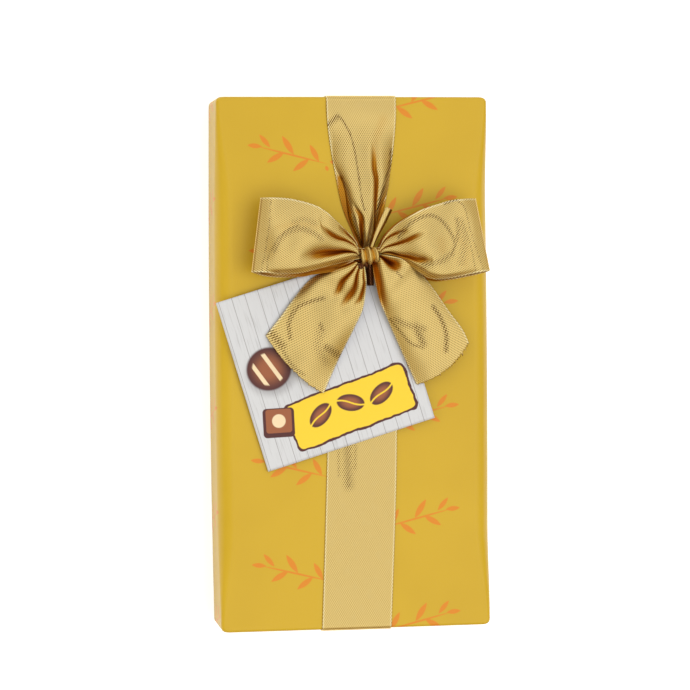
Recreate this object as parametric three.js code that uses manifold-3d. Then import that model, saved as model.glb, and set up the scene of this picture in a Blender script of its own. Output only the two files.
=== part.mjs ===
// A paper-covered gift box of chocolates with a ribbon, a bow and a hang tag.
// Millimetres, +Z up. The box lies on its back: X is its width, Y its length, and the origin is the
// middle of its underside.
import * as THREE from 'three';
import Module from 'manifold-3d';
import { mergeVertices } from 'three/addons/utils/BufferGeometryUtils.js';

const wasm = await Module();
wasm.setup();

// Box
const LENGTH = 189; // over the paper, end to end
const END_WIDTH = 97; // over the paper, at the two ends
const BELLY = 0.7; // how much further out each long side stands at mid length
const HEIGHT = 26; // floor to the top of the paper
const RIM_Z = 1.5; // lower edge of the lid
const PAPER = 0.3; // covering paper
const BOARD = 1.4; // lid board
const SEAT = 0.15; // air between glued layers
const CORNER_PLAN = 2.0; // upright corners, seen from above
const END_EDGE = 1.1; // top edge at the two ends
const LONG_EDGE = 6.6; // top edge of the long sides at mid length
const LONG_EDGE_END = 1.4; // the same edge at the corners
const TURN_IN = 12; // paper turned in under the rim, up the inside
const LID_PLAY = 0.55; // lid to base, each side
const BASE_BOARD = 1.2;
const BASE_WALL_TOP = 20.4;

// Insert and pralines
const COLUMNS = 2;
const ROWS = 4;
const SHEET = 0.6; // thermoformed sheet
const DECK_Z = 18.2;
const POCKET_FLOOR = 2.6;
const POCKET_MOUTH = 38; // across the pocket at the deck
const POCKET_BASE = 34.4; // across the pocket at its floor
const PRALINE_HEIGHT = 17.4;
const PRALINE_SIZE = 32;

// Pad under the lid
const PAD_THICK = 2.5;
const PAD_MARGIN = 5.5;

// Ribbon
const RIBBON_WIDTH = 25;
const RIBBON = 0.4;
const BAND_LIFT = 0.12; // band to paper
const WAIST = 7.6; // gathered width under the knot
const TIE = { x: 5.2, y: 33.2, radius: 1.3 }; // the tie stands upright here, under the knot

// Tag
const TAG = 62.4;
const TAG_CARD = 0.4;
const TAG_TURN = 16.8; // degrees, anticlockwise
const TAG_HOLE = { u: 24.4, v: 26, radius: 2.0 };
const TAG_LIFT = 2.2; // lid to the underside of the card, at the hole
const TAG_FALL = 0.018; // how fast the card falls away towards its far corner

const HALF_L = LENGTH / 2;
const CAVITY = PAPER + SEAT + BOARD + SEAT + PAPER; // paper face to paper face through the lid wall
const ROOF = PAPER + SEAT + BOARD; // top of the paper to the underside of the lid board

const group = new THREE.Group();
const base = new THREE.Group();
const lid = new THREE.Group();
const bow = new THREE.Group();
const tag = new THREE.Group();
lid.add(bow, tag);
group.add(base, lid);

const COLOURS = {
  paper: 0xd2ae3e,
  board: 0xd9d2c4,
  white: 0xeeeae2,
  ribbon: 0xd8bd78,
  tie: 0x8a5a20,
  card: 0xd9d7d8,
  insert: 0x5a3a22,
  milk: 0x7a4526,
  dark: 0x3e2013,
  ivory: 0xe8d8b4,
  pad: 0x6b4a2e,
};

function add(parent, name, geometry, colour, roughness = 0.6, metalness = 0) {
  const material = new THREE.MeshStandardMaterial({ color: colour, roughness, metalness });
  const mesh = new THREE.Mesh(geometry, material);
  mesh.name = name;
  parent.add(mesh);
  return mesh;
}

// Solids from rings and grids

function geometryOf(points, faces) {
  const g = new THREE.BufferGeometry();
  const flat = new Float32Array(points.length * 3);
  points.forEach((p, i) => flat.set([p.x, p.y, p.z], i * 3));
  g.setAttribute('position', new THREE.BufferAttribute(flat, 3));
  let volume = 0;
  for (const [a, b, c] of faces) {
    volume += points[a].dot(new THREE.Vector3().crossVectors(points[b], points[c]));
  }
  const index = faces.flatMap(([a, b, c]) => (volume < 0 ? [a, c, b] : [a, b, c]));
  g.setIndex(index);
  return g;
}

// Closed rings, all with the same number of points, joined one to the next and closed at both ends.
function loft(rings) {
  const n = rings[0].length;
  const points = rings.flat();
  const faces = [];
  for (let r = 0; r + 1 < rings.length; r++) {
    for (let i = 0; i < n; i++) {
      const j = (i + 1) % n;
      faces.push([r * n + i, r * n + j, (r + 1) * n + j]);
      faces.push([r * n + i, (r + 1) * n + j, (r + 1) * n + i]);
    }
  }
  for (const [start, turn] of [[0, 1], [(rings.length - 1) * n, -1]]) {
    const middle = new THREE.Vector3();
    for (let i = 0; i < n; i++) middle.add(points[start + i]);
    points.push(middle.divideScalar(n));
    const c = points.length - 1;
    for (let i = 0; i < n; i++) {
      const j = (i + 1) % n;
      faces.push(turn > 0 ? [c, start + j, start + i] : [c, start + i, start + j]);
    }
  }
  return geometryOf(points, faces);
}

// Two grids of the same size, one over the other, joined round their edges.
function slab(top, bottom) {
  const rows = top.length;
  const cols = top[0].length;
  const points = [...top.flat(), ...bottom.flat()];
  const under = rows * cols;
  const at = (r, c) => r * cols + c;
  const faces = [];
  for (let r = 0; r + 1 < rows; r++) {
    for (let c = 0; c + 1 < cols; c++) {
      const [p, q, s, t] = [at(r, c), at(r, c + 1), at(r + 1, c + 1), at(r + 1, c)];
      faces.push([p, q, s], [p, s, t]);
      faces.push([under + p, under + s, under + q], [under + p, under + t, under + s]);
    }
  }
  const rim = [];
  for (let c = 0; c + 1 < cols; c++) rim.push(at(0, c));
  for (let r = 0; r + 1 < rows; r++) rim.push(at(r, cols - 1));
  for (let c = cols - 1; c > 0; c--) rim.push(at(rows - 1, c));
  for (let r = rows - 1; r > 0; r--) rim.push(at(r, 0));
  rim.forEach((a, i) => {
    const b = rim[(i + 1) % rim.length];
    faces.push([a, under + a, under + b], [a, under + b, b]);
  });
  return geometryOf(points, faces);
}

// A strip of ribbon: rows of points across its middle surface, thickened along the surface normal.
function ribbon(rows, thick = RIBBON) {
  const last = rows.length - 1;
  const edge = rows[0].length - 1;
  const moved = (side) =>
    rows.map((row, r) =>
      row.map((p, c) => {
        const along = rows[Math.min(r + 1, last)][c].clone().sub(rows[Math.max(r - 1, 0)][c]);
        const across = row[Math.min(c + 1, edge)].clone().sub(row[Math.max(c - 1, 0)]);
        const normal = across.cross(along).normalize();
        return p.clone().addScaledVector(normal, (side * thick) / 2);
      })
    );
  return slab(moved(1), moved(-1));
}

function solid(geometry) {
  const g = geometry.clone();
  for (const name of Object.keys(g.attributes)) {
    if (name !== 'position') g.deleteAttribute(name);
  }
  const merged = mergeVertices(g, 1e-4);
  return new wasm.Manifold(
    new wasm.Mesh({
      numProp: 3,
      vertProperties: new Float32Array(merged.attributes.position.array),
      triVerts: new Uint32Array(merged.index.array),
    })
  );
}

function fromSolid(made) {
  const mesh = made.getMesh();
  const g = new THREE.BufferGeometry();
  const flat = new Float32Array(mesh.numVert * 3);
  for (let i = 0; i < mesh.numVert; i++) {
    flat.set(mesh.vertProperties.subarray(i * mesh.numProp, i * mesh.numProp + 3), i * 3);
  }
  g.setAttribute('position', new THREE.BufferAttribute(flat, 3));
  g.setIndex(new THREE.BufferAttribute(new Uint32Array(mesh.triVerts), 1));
  return g;
}

function block(x0, x1, y0, y1, z0, z1) {
  const g = new THREE.BoxGeometry(x1 - x0, y1 - y0, z1 - z0);
  g.translate((x0 + x1) / 2, (y0 + y1) / 2, (z0 + z1) / 2);
  return g;
}

const mix = (a, b, t) => a + (b - a) * t;
const clamp01 = (t) => Math.min(1, Math.max(0, t));
const ease = (t) => clamp01(t) ** 2 * (3 - 2 * clamp01(t));
const V = (x, y, z) => new THREE.Vector3(x, y, z);

// A smooth value through given (place, value) pairs.
function through(pairs) {
  const curve = new THREE.CatmullRomCurve3(
    pairs.map(([t, v]) => V(t, v, 0)),
    false,
    'centripetal'
  );
  const table = curve.getPoints(pairs.length * 24);
  return (t) => {
    if (t <= table[0].x) return table[0].y;
    for (let i = 1; i < table.length; i++) {
      if (t <= table[i].x) {
        const span = table[i].x - table[i - 1].x;
        return mix(table[i - 1].y, table[i].y, span > 0 ? (t - table[i - 1].x) / span : 0);
      }
    }
    return table[table.length - 1].y;
  };
}

// The lid's outer form: sections across the box, one after the other along its length.
// inset moves every face inwards; floor is the lowest level of the form.
function lidForm(inset, floor) {
  const half = HALF_L - inset;
  const plan = Math.max(0.4, CORNER_PLAN - inset);
  const endEdge = Math.max(0.3, END_EDGE - inset);
  const top = HEIGHT - inset;
  const fromEnd = [0, 0.12, 0.35, 0.7, 1.2, 2, 4, 9, 17, 30, 52, HALF_L];
  const places = [];
  fromEnd.forEach((f) => {
    if (f < half) places.push(f);
  });
  const stations = [...places.map((f) => -half + f), 0, ...places.map((f) => half - f).reverse()];
  const rings = stations.map((y) => {
    const gap = half - Math.abs(y);
    const belly = BELLY * (1 - (y / HALF_L) ** 2);
    const cut = gap < plan ? plan - Math.sqrt(plan ** 2 - (plan - gap) ** 2) : 0;
    const drop = gap < endEdge ? endEdge - Math.sqrt(endEdge ** 2 - (endEdge - gap) ** 2) : 0;
    const halfW = END_WIDTH / 2 + belly - inset - cut;
    const z = top - drop;
    const radius = Math.max(0.3, mix(LONG_EDGE_END, LONG_EDGE, ease((gap + inset) / 38)) - inset);
    const ring = [];
    const arc = 6;
    for (const side of [1, -1]) {
      const corner = [];
      for (let i = 0; i <= arc; i++) {
        const a = (i / arc) * (Math.PI / 2);
        corner.push(V(
          side * (halfW - radius + radius * Math.cos(a)),
          y,
          z - radius + radius * Math.sin(a)
        ));
      }
      if (side > 0) ring.push(V(halfW, y, floor), ...corner);
      else ring.push(...corner.reverse(), V(-halfW, y, floor));
    }
    return ring;
  });
  return loft(rings);
}

// Lid

const cavityX = END_WIDTH / 2 - CAVITY; // inside of the turned-in paper
const cavityY = HALF_L - CAVITY;

function straightCavity(grow, z0, z1) {
  return solid(block(-cavityX - grow, cavityX + grow, -cavityY - grow, cavityY + grow, z0, z1));
}

function lidBoard() {
  const outer = solid(lidForm(PAPER + SEAT, RIM_Z + PAPER + SEAT));
  const room = solid(lidForm(ROOF, -5));
  const inner = straightCavity(PAPER + SEAT, -5, HEIGHT).intersect(room);
  return fromSolid(outer.subtract(inner));
}

function lidWrap() {
  const outer = solid(lidForm(0, RIM_Z));
  const inner = solid(lidForm(PAPER, RIM_Z + PAPER));
  const skin = outer.subtract(inner).subtract(straightCavity(0, -5, RIM_Z + 1));
  const fold = straightCavity(PAPER, RIM_Z, RIM_Z + TURN_IN).subtract(straightCavity(0, -5, 60));
  return fromSolid(skin.add(fold));
}

add(lid, 'lid_board', lidBoard(), COLOURS.board, 0.9);
add(lid, 'lid_wrap', lidWrap(), COLOURS.paper, 0.35);

// The pad is flat above, and quilted below with a crown in each cell.
function lidPad() {
  const top = HEIGHT - ROOF - SEAT;
  const halfX = END_WIDTH / 2 - ROOF - PAD_MARGIN;
  const halfY = HALF_L - ROOF - PAD_MARGIN;
  const cells = [4, 9];
  const per = 3;
  const upper = [];
  const lower = [];
  for (let r = 0; r <= cells[1] * per; r++) {
    const v = r / (cells[1] * per);
    upper.push([]);
    lower.push([]);
    for (let c = 0; c <= cells[0] * per; c++) {
      const u = c / (cells[0] * per);
      const quilt = Math.abs(Math.sin(Math.PI * cells[0] * u) * Math.sin(Math.PI * cells[1] * v));
      const crown = 0.55 + 0.45 * Math.sqrt(clamp01(4 * u * (1 - u) * 4 * v * (1 - v)));
      const deep = PAD_THICK * crown * (0.5 + 0.5 * quilt ** 0.6);
      const x = mix(-halfX, halfX, u);
      const y = mix(-halfY, halfY, v);
      upper[r].push(V(x, y, top));
      lower[r].push(V(x, y, top - deep));
    }
  }
  return slab(upper, lower);
}

add(lid, 'lid_pad', lidPad(), COLOURS.pad, 0.8);

// Base

const baseX = cavityX - LID_PLAY;
const baseY = cavityY - SEAT - RIBBON - LID_PLAY;

function baseBoard() {
  const outer = solid(block(-baseX, baseX, -baseY, baseY, 0, BASE_WALL_TOP));
  const inX = baseX - BASE_BOARD;
  const inY = baseY - BASE_BOARD;
  return fromSolid(outer.subtract(solid(block(-inX, inX, -inY, inY, BASE_BOARD, 60))));
}

add(base, 'base_board', baseBoard(), COLOURS.white, 0.85);

// A rounded square ring: power 2 is a circle, a high power a square.
function squircle(cx, cy, z, rx, ry, power, count) {
  const ring = [];
  for (let i = 0; i < count; i++) {
    const a = ((i + 0.5) / count) * Math.PI * 2;
    const c = Math.cos(a);
    const s = Math.sin(a);
    ring.push(V(
      cx + rx * Math.sign(c) * Math.abs(c) ** (2 / power),
      cy + ry * Math.sign(s) * Math.abs(s) ** (2 / power),
      z
    ));
  }
  return ring;
}

const trayX = baseX - BASE_BOARD - 0.3;
const trayY = baseY - BASE_BOARD - 0.3;
const pitchX = (2 * trayX - 3) / COLUMNS;
const pitchY = (2 * trayY - 4) / ROWS;
const pockets = [];
for (let r = 0; r < ROWS; r++) {
  for (let c = 0; c < COLUMNS; c++) {
    pockets.push([(c - (COLUMNS - 1) / 2) * pitchX, ((ROWS - 1) / 2 - r) * pitchY]);
  }
}

function insertTray() {
  const count = 24;
  const mouth = POCKET_MOUTH / 2;
  const foot = POCKET_BASE / 2;
  const cup = ([x, y], grow, low, high) =>
    solid(loft([
      squircle(x, y, low, foot + grow - 1.2, foot + grow - 1.2, 4, count),
      squircle(x, y, low + 1.4, foot + grow, foot + grow, 4, count),
      squircle(x, y, high, mouth + grow, mouth + grow, 4, count),
    ]));
  const body = solid(block(-trayX, trayX, -trayY, trayY, BASE_BOARD + 0.1, DECK_Z));
  const under = solid(block(
    -trayX + SHEET, trayX - SHEET, -trayY + SHEET, trayY - SHEET, -5, DECK_Z - SHEET
  ));
  let made = body.subtract(under);
  for (const p of pockets) made = made.add(cup(p, SHEET, POCKET_FLOOR - SHEET, DECK_Z));
  for (const p of pockets) made = made.subtract(cup(p, 0, POCKET_FLOOR, DECK_Z + 0.01));
  return fromSolid(made);
}

add(base, 'insert_tray', insertTray(), COLOURS.insert, 0.3);

// Pralines: four mould shapes, each a stack of rings. A shape is how square its outline is, its width
// and length as shares of the praline's size, its flutes, and its side as pairs of height and breadth.
const SHAPES = {
  dome: [2, 1, 1, 10, [[0, 0.86], [0.06, 0.93], [0.28, 1], [0.5, 0.94], [0.7, 0.8], [0.85, 0.58],
    [0.95, 0.32], [1, 0.1]]],
  square: [5, 0.94, 0.94, 0, [[0, 0.9], [0.06, 1], [0.62, 0.9], [0.72, 0.82], [0.76, 0.6], [0.9, 0.5],
    [0.95, 0.2]]],
  oval: [2.3, 0.84, 1.02, 0, [[0, 0.9], [0.06, 0.97], [0.25, 1], [0.5, 0.9], [0.72, 0.7], [0.79, 0.48],
    [0.81, 0.34], [0.9, 0.3], [0.96, 0.14]]],
  log: [6, 0.7, 0.96, 0, [[0, 0.9], [0.06, 1], [0.5, 0.96], [0.72, 0.86], [0.84, 0.66], [0.9, 0.42],
    [0.92, 0.14]]],
};

function praline(shape) {
  const [power, wide, long, flutes, side] = SHAPES[shape];
  const half = PRALINE_SIZE / 2;
  const count = flutes ? flutes * 4 : 28;
  return loft(side.map(([h, k]) => {
    const ring = squircle(0, 0, h * PRALINE_HEIGHT, half * wide * k, half * long * k, power, count);
    if (flutes) {
      const depth = 0.045 * Math.sin(Math.PI * clamp01(h * 1.05));
      ring.forEach((q) => {
        const turn = Math.atan2(q.y, q.x) + h * 0.9;
        const grow = 1 - depth * (1 - Math.cos(turn * flutes));
        q.set(q.x * grow, q.y * grow, q.z);
      });
    }
    return ring;
  }));
}

[
  ['praline_dome_a', 'dome', COLOURS.milk],
  ['praline_square_a', 'square', COLOURS.dark],
  ['praline_log_a', 'log', COLOURS.dark],
  ['praline_oval_a', 'oval', COLOURS.ivory],
  ['praline_oval_b', 'oval', COLOURS.milk],
  ['praline_log_b', 'log', COLOURS.milk],
  ['praline_square_b', 'square', COLOURS.ivory],
  ['praline_dome_b', 'dome', COLOURS.dark],
].forEach(([name, shape, colour], i) => {
  const mesh = add(base, name, praline(shape), colour, 0.35);
  mesh.position.set(pockets[i][0], pockets[i][1], POCKET_FLOOR + 0.1);
});

// The bow and the tag stand on the lid. Their plan points count from the tie and their heights from
// the lid, for a ribbon 25 wide, and follow the ribbon's width.
const UNIT = RIBBON_WIDTH / 25;
const onLid = (x, y, z) => V(TIE.x + x * UNIT, TIE.y + y * UNIT, HEIGHT + z * UNIT);
const KNOT_AT = { x: TIE.x - 1.2 * UNIT, y: TIE.y + 5 * UNIT };

// Ribbon band: up the inside of the lid end, round the rim, over the lid and back in at the other end.
// Under the knot it is gathered to the waist, in folds that spread out again towards both ends.
function ribbonBand() {
  const skinY = HALF_L + BAND_LIFT + RIBBON / 2;
  const insideY = cavityY - SEAT - RIBBON / 2;
  const skinZ = HEIGHT + BAND_LIFT + RIBBON / 2;
  const rimZ = RIM_Z - BAND_LIFT - RIBBON / 2;
  const round = END_EDGE + BAND_LIFT + RIBBON / 2;
  const bend = 0.35;
  const path = [
    [insideY, RIM_Z + TURN_IN + 2], [insideY, RIM_Z + TURN_IN / 2], [insideY, RIM_Z + 0.1],
    [insideY + bend * 0.35, rimZ + bend * 0.3], [insideY + bend, rimZ],
    [skinY - bend, rimZ], [skinY - bend * 0.35, rimZ + bend * 0.3],
    [skinY, RIM_Z + 0.1], [skinY, HEIGHT * 0.35], [skinY, HEIGHT * 0.7],
  ];
  for (let i = 0; i <= 4; i++) {
    const a = (i / 4) * (Math.PI / 2);
    path.push([skinY - round + round * Math.cos(a), skinZ - round + round * Math.sin(a)]);
  }
  const up = [0.79, 0.58, 0.45, 0.31, 0.21, 0.13, 0.066, 0.015];
  const down = [0.012, 0.035, 0.066, 0.105, 0.15, 0.205, 0.274, 0.366, 0.489, 0.658, 0.827];
  const flat = [
    ...up.map((t) => [mix(KNOT_AT.y, HALF_L, t), skinZ]),
    ...down.map((t) => [mix(KNOT_AT.y, -HALF_L, t), skinZ]),
  ];
  const back = path.map(([y, z]) => [-y, z]).reverse();
  const middle = through([
    [-HALF_L, -0.2], [-0.66 * HALF_L, 1.1], [-0.39 * HALF_L, 2.1], [TIE.y - 13 * UNIT, TIE.x - 1.8 * UNIT],
    [KNOT_AT.y, KNOT_AT.x], [TIE.y + 22 * UNIT, TIE.x - 2 * UNIT], [HALF_L, 2.2],
  ]);
  const cols = 12;
  return ribbon([...path, ...flat, ...back].map(([y, z]) => {
    const away = Math.abs(y - KNOT_AT.y) / UNIT;
    const grip = z > HEIGHT ? 1 - ease((away - 2.5) / (y > KNOT_AT.y ? 40 : 46)) : 0;
    const half = mix(RIBBON_WIDTH, WAIST * UNIT, grip ** 1.3) / 2;
    const centre = middle(z > HEIGHT - 2 ? y : Math.sign(y) * HALF_L);
    const row = [];
    for (let c = 0; c <= cols; c++) {
      const v = (c / cols) * 2 - 1;
      const fold = 0.62 * grip ** 1.6 * (1 - Math.cos(2 * Math.PI * v * 1.5 + Math.PI)) + 0.1 * grip;
      row.push(V(centre + v * half, y, z + fold * UNIT));
    }
    return row;
  }));
}

add(lid, 'ribbon_band', ribbonBand(), COLOURS.ribbon, 0.35, 0.6);

// Bow loops: out along the top layer, round the far end and back along the bottom layer.
// reach runs from the knot (0) to the far end (1); the two edges and the height follow it.
const LOOP_LINE = [
  [0, 7.6], [0.14, 9.6], [0.36, 12.2], [0.62, 13.3], [0.84, 12.3], [0.97, 9.6], [0.98, 6.8],
  [0.86, 4.6], [0.62, 3.6], [0.34, 3.4], [0.13, 3.7], [0, 4.2],
];

function bowLoop({ near, farLow, farHigh, upper, lower, under }) {
  const high = through(upper);
  const low = through(lower);
  const lowUnder = through(under);
  const cols = 8;
  const count = 30;
  const stretch = 40; // evens out the spacing of the points along the line
  const line = new THREE.CatmullRomCurve3(
    LOOP_LINE.map(([reach, z]) => V(reach * stretch, z, 0)),
    false,
    'centripetal'
  );
  const rows = [];
  for (let r = 0; r <= count; r++) {
    const p = line.getPoint(r / count);
    const reach = p.x / stretch;
    const layer = ease((r / count - 0.42) / 0.16);
    const y1 = high(reach) - layer * 0.6 * reach;
    const y0 = mix(low(reach), lowUnder(reach), layer);
    const gather = (1 - ease(reach / 0.75)) ** 1.4;
    const row = [];
    for (let c = 0; c <= cols; c++) {
      const v = c / cols;
      const wave = 0.75 * gather * Math.cos(2 * Math.PI * 1.5 * (v - 0.5)) * (layer > 0.5 ? -0.5 : 1);
      const x = mix(near, mix(farLow, farHigh, v), reach);
      row.push(onLid(x, mix(y0, y1, v), p.y + wave));
    }
    rows.push(row);
  }
  return ribbon(rows, RIBBON);
}

add(bow, 'bow_loop_left', bowLoop({
  near: -4.9,
  farLow: -43.7,
  farHigh: -40.2,
  upper: [[0, 7.6], [0.03, 10.4], [0.11, 13.3], [0.235, 17.1], [0.34, 20.3], [0.45, 22.6],
    [0.62, 24.4], [0.77, 25.3], [1, 25.7]],
  lower: [[0, 3.9], [0.175, 2.5], [0.3, 1.4], [0.42, 0.2], [0.59, -1], [0.71, -1.2],
    [0.86, -0.6], [1, -0.1]],
  under: [[0, 2.6], [0.157, 0], [0.22, -0.4], [0.43, -1.5], [0.55, -2.2], [0.71, -2.3],
    [0.85, -1.9], [1, -0.6]],
}), COLOURS.ribbon, 0.35, 0.6);

add(bow, 'bow_loop_right', bowLoop({
  near: 2.5,
  farLow: 42.3,
  farHigh: 37.2,
  upper: [[0, 7.8], [0.066, 12.1], [0.16, 15.5], [0.28, 18.4], [0.44, 21.2], [0.6, 23],
    [0.77, 24.4], [1, 25]],
  lower: [[0, 4.6], [0.1, 4], [0.24, 2.2], [0.38, -1.6], [0.455, -3.2], [0.525, -3.6],
    [0.67, -2.8], [0.82, -1.7], [1, -0.3]],
  under: [[0, 4.2], [0.1, 3.4], [0.24, 1.4], [0.38, -2.2], [0.455, -3.8], [0.525, -4.3],
    [0.67, -3.7], [0.82, -2.6], [1, -1.2]],
}), COLOURS.ribbon, 0.35, 0.6);

// Bow tails: two edges in plan, a height along the length, and folds that fade towards the cut end.
function bowTail({ left, right, height }) {
  const edge = (points) =>
    new THREE.CatmullRomCurve3(points.map(([x, y]) => V(x, y, 0)), false, 'centripetal');
  const a = edge(left);
  const b = edge(right);
  const z = through(height);
  const count = 16;
  const cols = 8;
  const rows = [];
  for (let r = 0; r <= count; r++) {
    const t = r / count;
    const p = a.getPointAt(t);
    const q = b.getPointAt(t);
    const gather = (1 - t) ** 1.5;
    const row = [];
    for (let c = 0; c <= cols; c++) {
      const v = c / cols;
      const wave = 0.7 * gather * Math.cos(2 * Math.PI * 1.5 * (v - 0.5));
      const dish = 0.9 * (v - 0.5) ** 2 * 4 * ease(t);
      row.push(onLid(mix(p.x, q.x, v), mix(p.y, q.y, v), z(t) + wave + dish));
    }
    rows.push(row);
  }
  return ribbon(rows, RIBBON);
}

add(bow, 'bow_tail_left', bowTail({
  left: [[-5.2, 2.4], [-13.4, 0.4], [-20.8, -2.8], [-27.2, -9.7], [-32.5, -16.7], [-37.3, -22.7]],
  right: [[-2.6, 1.2], [-2.1, -3.5], [-2.3, -8], [-3.2, -14.1], [-6.1, -20.5], [-9.7, -27.5],
    [-12.7, -33.9], [-16.9, -43.4]],
  height: [[0, 5.2], [0.2, 5.8], [0.45, 4.6], [0.7, 4], [1, 4.6]],
}), COLOURS.ribbon, 0.35, 0.6);

add(bow, 'bow_tail_right', bowTail({
  left: [[1.6, 1.4], [1.7, -3.6], [3.3, -10.1], [6.3, -18.3], [9.9, -26], [13.4, -33.7],
    [16.7, -40.8]],
  right: [[2.4, 5.6], [11.7, 3.3], [17.7, -1.4], [22.7, -7.3], [28.3, -15], [33.2, -21.6],
    [35.4, -26.3]],
  height: [[0, 5.4], [0.2, 6.4], [0.45, 5], [0.7, 4.2], [1, 5.2]],
}), COLOURS.ribbon, 0.35, 0.6);

// Knot: a barrel of wound ribbon. The tie leaves it below and goes down through the tag.
const KNOT_LOW = 2.95;
const KNOT_HIGH = 10.4;
const KNOT_SIDE = [[0, 0.62], [0.1, 0.86], [0.3, 1], [0.7, 1], [0.9, 0.84], [1, 0.56]];

function bowKnot() {
  const level = (h) => HEIGHT + mix(KNOT_LOW, KNOT_HIGH, h) * UNIT;
  const barrel = loft(KNOT_SIDE.map(([h, k]) =>
    squircle(KNOT_AT.x, KNOT_AT.y, level(h), 3.2 * k * UNIT, 2.8 * k * UNIT, 3, 24)
  ));
  const post = loft([level(0.5), level(0) - 0.9 * UNIT].map((z) =>
    squircle(TIE.x, TIE.y, z, TIE.radius, TIE.radius, 2, 16)
  ));
  const wrap = loft([level(0.6), level(0.2)].map((z) =>
    squircle(TIE.x - 0.6 * UNIT, TIE.y + 2 * UNIT, z, 1.5 * UNIT, 2.2 * UNIT, 3, 16)
  ));
  return fromSolid(solid(barrel).add(solid(wrap)).add(solid(post)));
}

add(bow, 'bow_knot', bowKnot(), COLOURS.ribbon, 0.35, 0.6);

// The two ends of the narrow tie.
function tieEnd(points, width) {
  const line = new THREE.CatmullRomCurve3(points.map(([x, y, z]) => onLid(x, y, z)));
  const rows = [];
  for (let r = 0; r <= 8; r++) {
    const p = line.getPoint(r / 8);
    const along = line.getTangent(r / 8);
    const across = V(along.y, -along.x, 0).normalize();
    rows.push([-1, 0, 1].map((k) => p.clone().addScaledVector(across, (k * width * UNIT) / 2)));
  }
  return ribbon(rows, RIBBON);
}

const endUp = tieEnd([[0.2, 8.2, 7.2], [1.7, 12.2, 8.2], [6.3, 21.6, 8]], 2.2);
add(bow, 'tie_end_up', endUp, COLOURS.ribbon, 0.4, 0.6);
const endDown = tieEnd([[-0.2, -1.5, 5.2], [-0.1, -3.2, 4.9], [0, -5.4, 4.5]], 2.1);
add(bow, 'tie_end_down', endDown, COLOURS.tie, 0.5, 0.3);

// Tag: a square card with a round hole near one corner, tilted a little about the tie.
function hangTag() {
  const outline = new THREE.Shape();
  const [left, low] = [-TAG / 2 - TAG_HOLE.u, -TAG / 2 - TAG_HOLE.v];
  outline.moveTo(left, low);
  outline.lineTo(left + TAG, low);
  outline.lineTo(left + TAG, low + TAG);
  outline.lineTo(left, low + TAG);
  const hole = new THREE.Path();
  hole.absarc(0, 0, TAG_HOLE.radius, 0, Math.PI * 2, true);
  outline.holes.push(hole);
  return new THREE.ExtrudeGeometry(outline, { depth: TAG_CARD, bevelEnabled: false, curveSegments: 12 });
}

const card = add(tag, 'hang_tag', hangTag(), COLOURS.card, 0.5);
tag.position.set(TIE.x, TIE.y, HEIGHT + TAG_LIFT);
tag.rotation.z = THREE.MathUtils.degToRad(TAG_TURN);
card.quaternion.setFromAxisAngle(V(1, -1, 0).normalize(), Math.atan(TAG_FALL));

export default group;
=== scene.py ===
# %% [markdown]
# # A gift box of chocolates
# The box lies on its back with its lid up. X is its width, Y its length and Z runs up through the lid.
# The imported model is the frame: it says where each piece sits and which body carries it. This lesson
# dresses that frame with paper, ribbon, card and chocolate. Lengths are written in millimetres.

import math

import bmesh
import bpy
import numpy as np
from mathutils import Matrix, Vector


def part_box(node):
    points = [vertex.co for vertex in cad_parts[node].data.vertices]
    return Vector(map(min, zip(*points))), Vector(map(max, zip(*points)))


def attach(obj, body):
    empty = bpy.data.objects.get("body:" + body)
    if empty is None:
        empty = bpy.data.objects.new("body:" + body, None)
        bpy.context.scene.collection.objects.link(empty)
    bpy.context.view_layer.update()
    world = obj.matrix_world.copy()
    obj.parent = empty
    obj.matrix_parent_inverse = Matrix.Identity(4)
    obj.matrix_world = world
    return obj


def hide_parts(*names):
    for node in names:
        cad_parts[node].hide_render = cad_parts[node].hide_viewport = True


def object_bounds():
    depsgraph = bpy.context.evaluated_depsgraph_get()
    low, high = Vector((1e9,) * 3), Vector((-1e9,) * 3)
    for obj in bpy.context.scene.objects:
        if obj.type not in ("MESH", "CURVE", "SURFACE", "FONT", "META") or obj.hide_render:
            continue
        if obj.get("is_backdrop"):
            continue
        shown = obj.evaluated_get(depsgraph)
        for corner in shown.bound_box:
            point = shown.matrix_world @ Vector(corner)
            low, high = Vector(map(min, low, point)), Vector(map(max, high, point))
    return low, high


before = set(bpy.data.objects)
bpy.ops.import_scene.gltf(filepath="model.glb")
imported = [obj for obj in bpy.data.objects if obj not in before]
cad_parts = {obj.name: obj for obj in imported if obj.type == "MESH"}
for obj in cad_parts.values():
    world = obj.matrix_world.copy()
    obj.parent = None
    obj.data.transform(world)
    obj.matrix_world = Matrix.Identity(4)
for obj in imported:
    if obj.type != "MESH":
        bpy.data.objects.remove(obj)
cad_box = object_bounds()
MM = 0.001
scene = bpy.context.scene

# %% [markdown]
# ## Camera
# The photograph looks almost square at the front, a little from the left. A long lens far away keeps
# the edges nearly parallel. The camera is aimed at a point on the lid and then rolled by half a degree.

# %% Camera
CAMERA_AT = Vector((-140.6, 34.8, 888.3)) * MM
LOOKS_AT = Vector((-3.5, 6.7, 26.0)) * MM
CAMERA_ROLL = math.radians(-0.53)
LENS = 128.6

camera = bpy.data.objects.new("camera", bpy.data.cameras.new("camera"))
scene.collection.objects.link(camera)
camera.data.lens = LENS
back = (CAMERA_AT - LOOKS_AT).normalized()
right = Vector((0, 1, 0)).cross(back).normalized()
aim = Matrix((right, back.cross(right), back)).transposed().to_4x4()
camera.matrix_world = Matrix.Translation(CAMERA_AT) @ aim @ Matrix.Rotation(CAMERA_ROLL, 4, "Z")
scene.camera = camera
print("camera height in mm:", round(camera.matrix_world.translation.z / MM))

# %% [markdown]
# ## Building node trees
# A material is a small graph. One helper makes a node, sets its options, and either links a socket or
# writes its value. A second one does sums, so a formula reads in one line.


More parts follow.
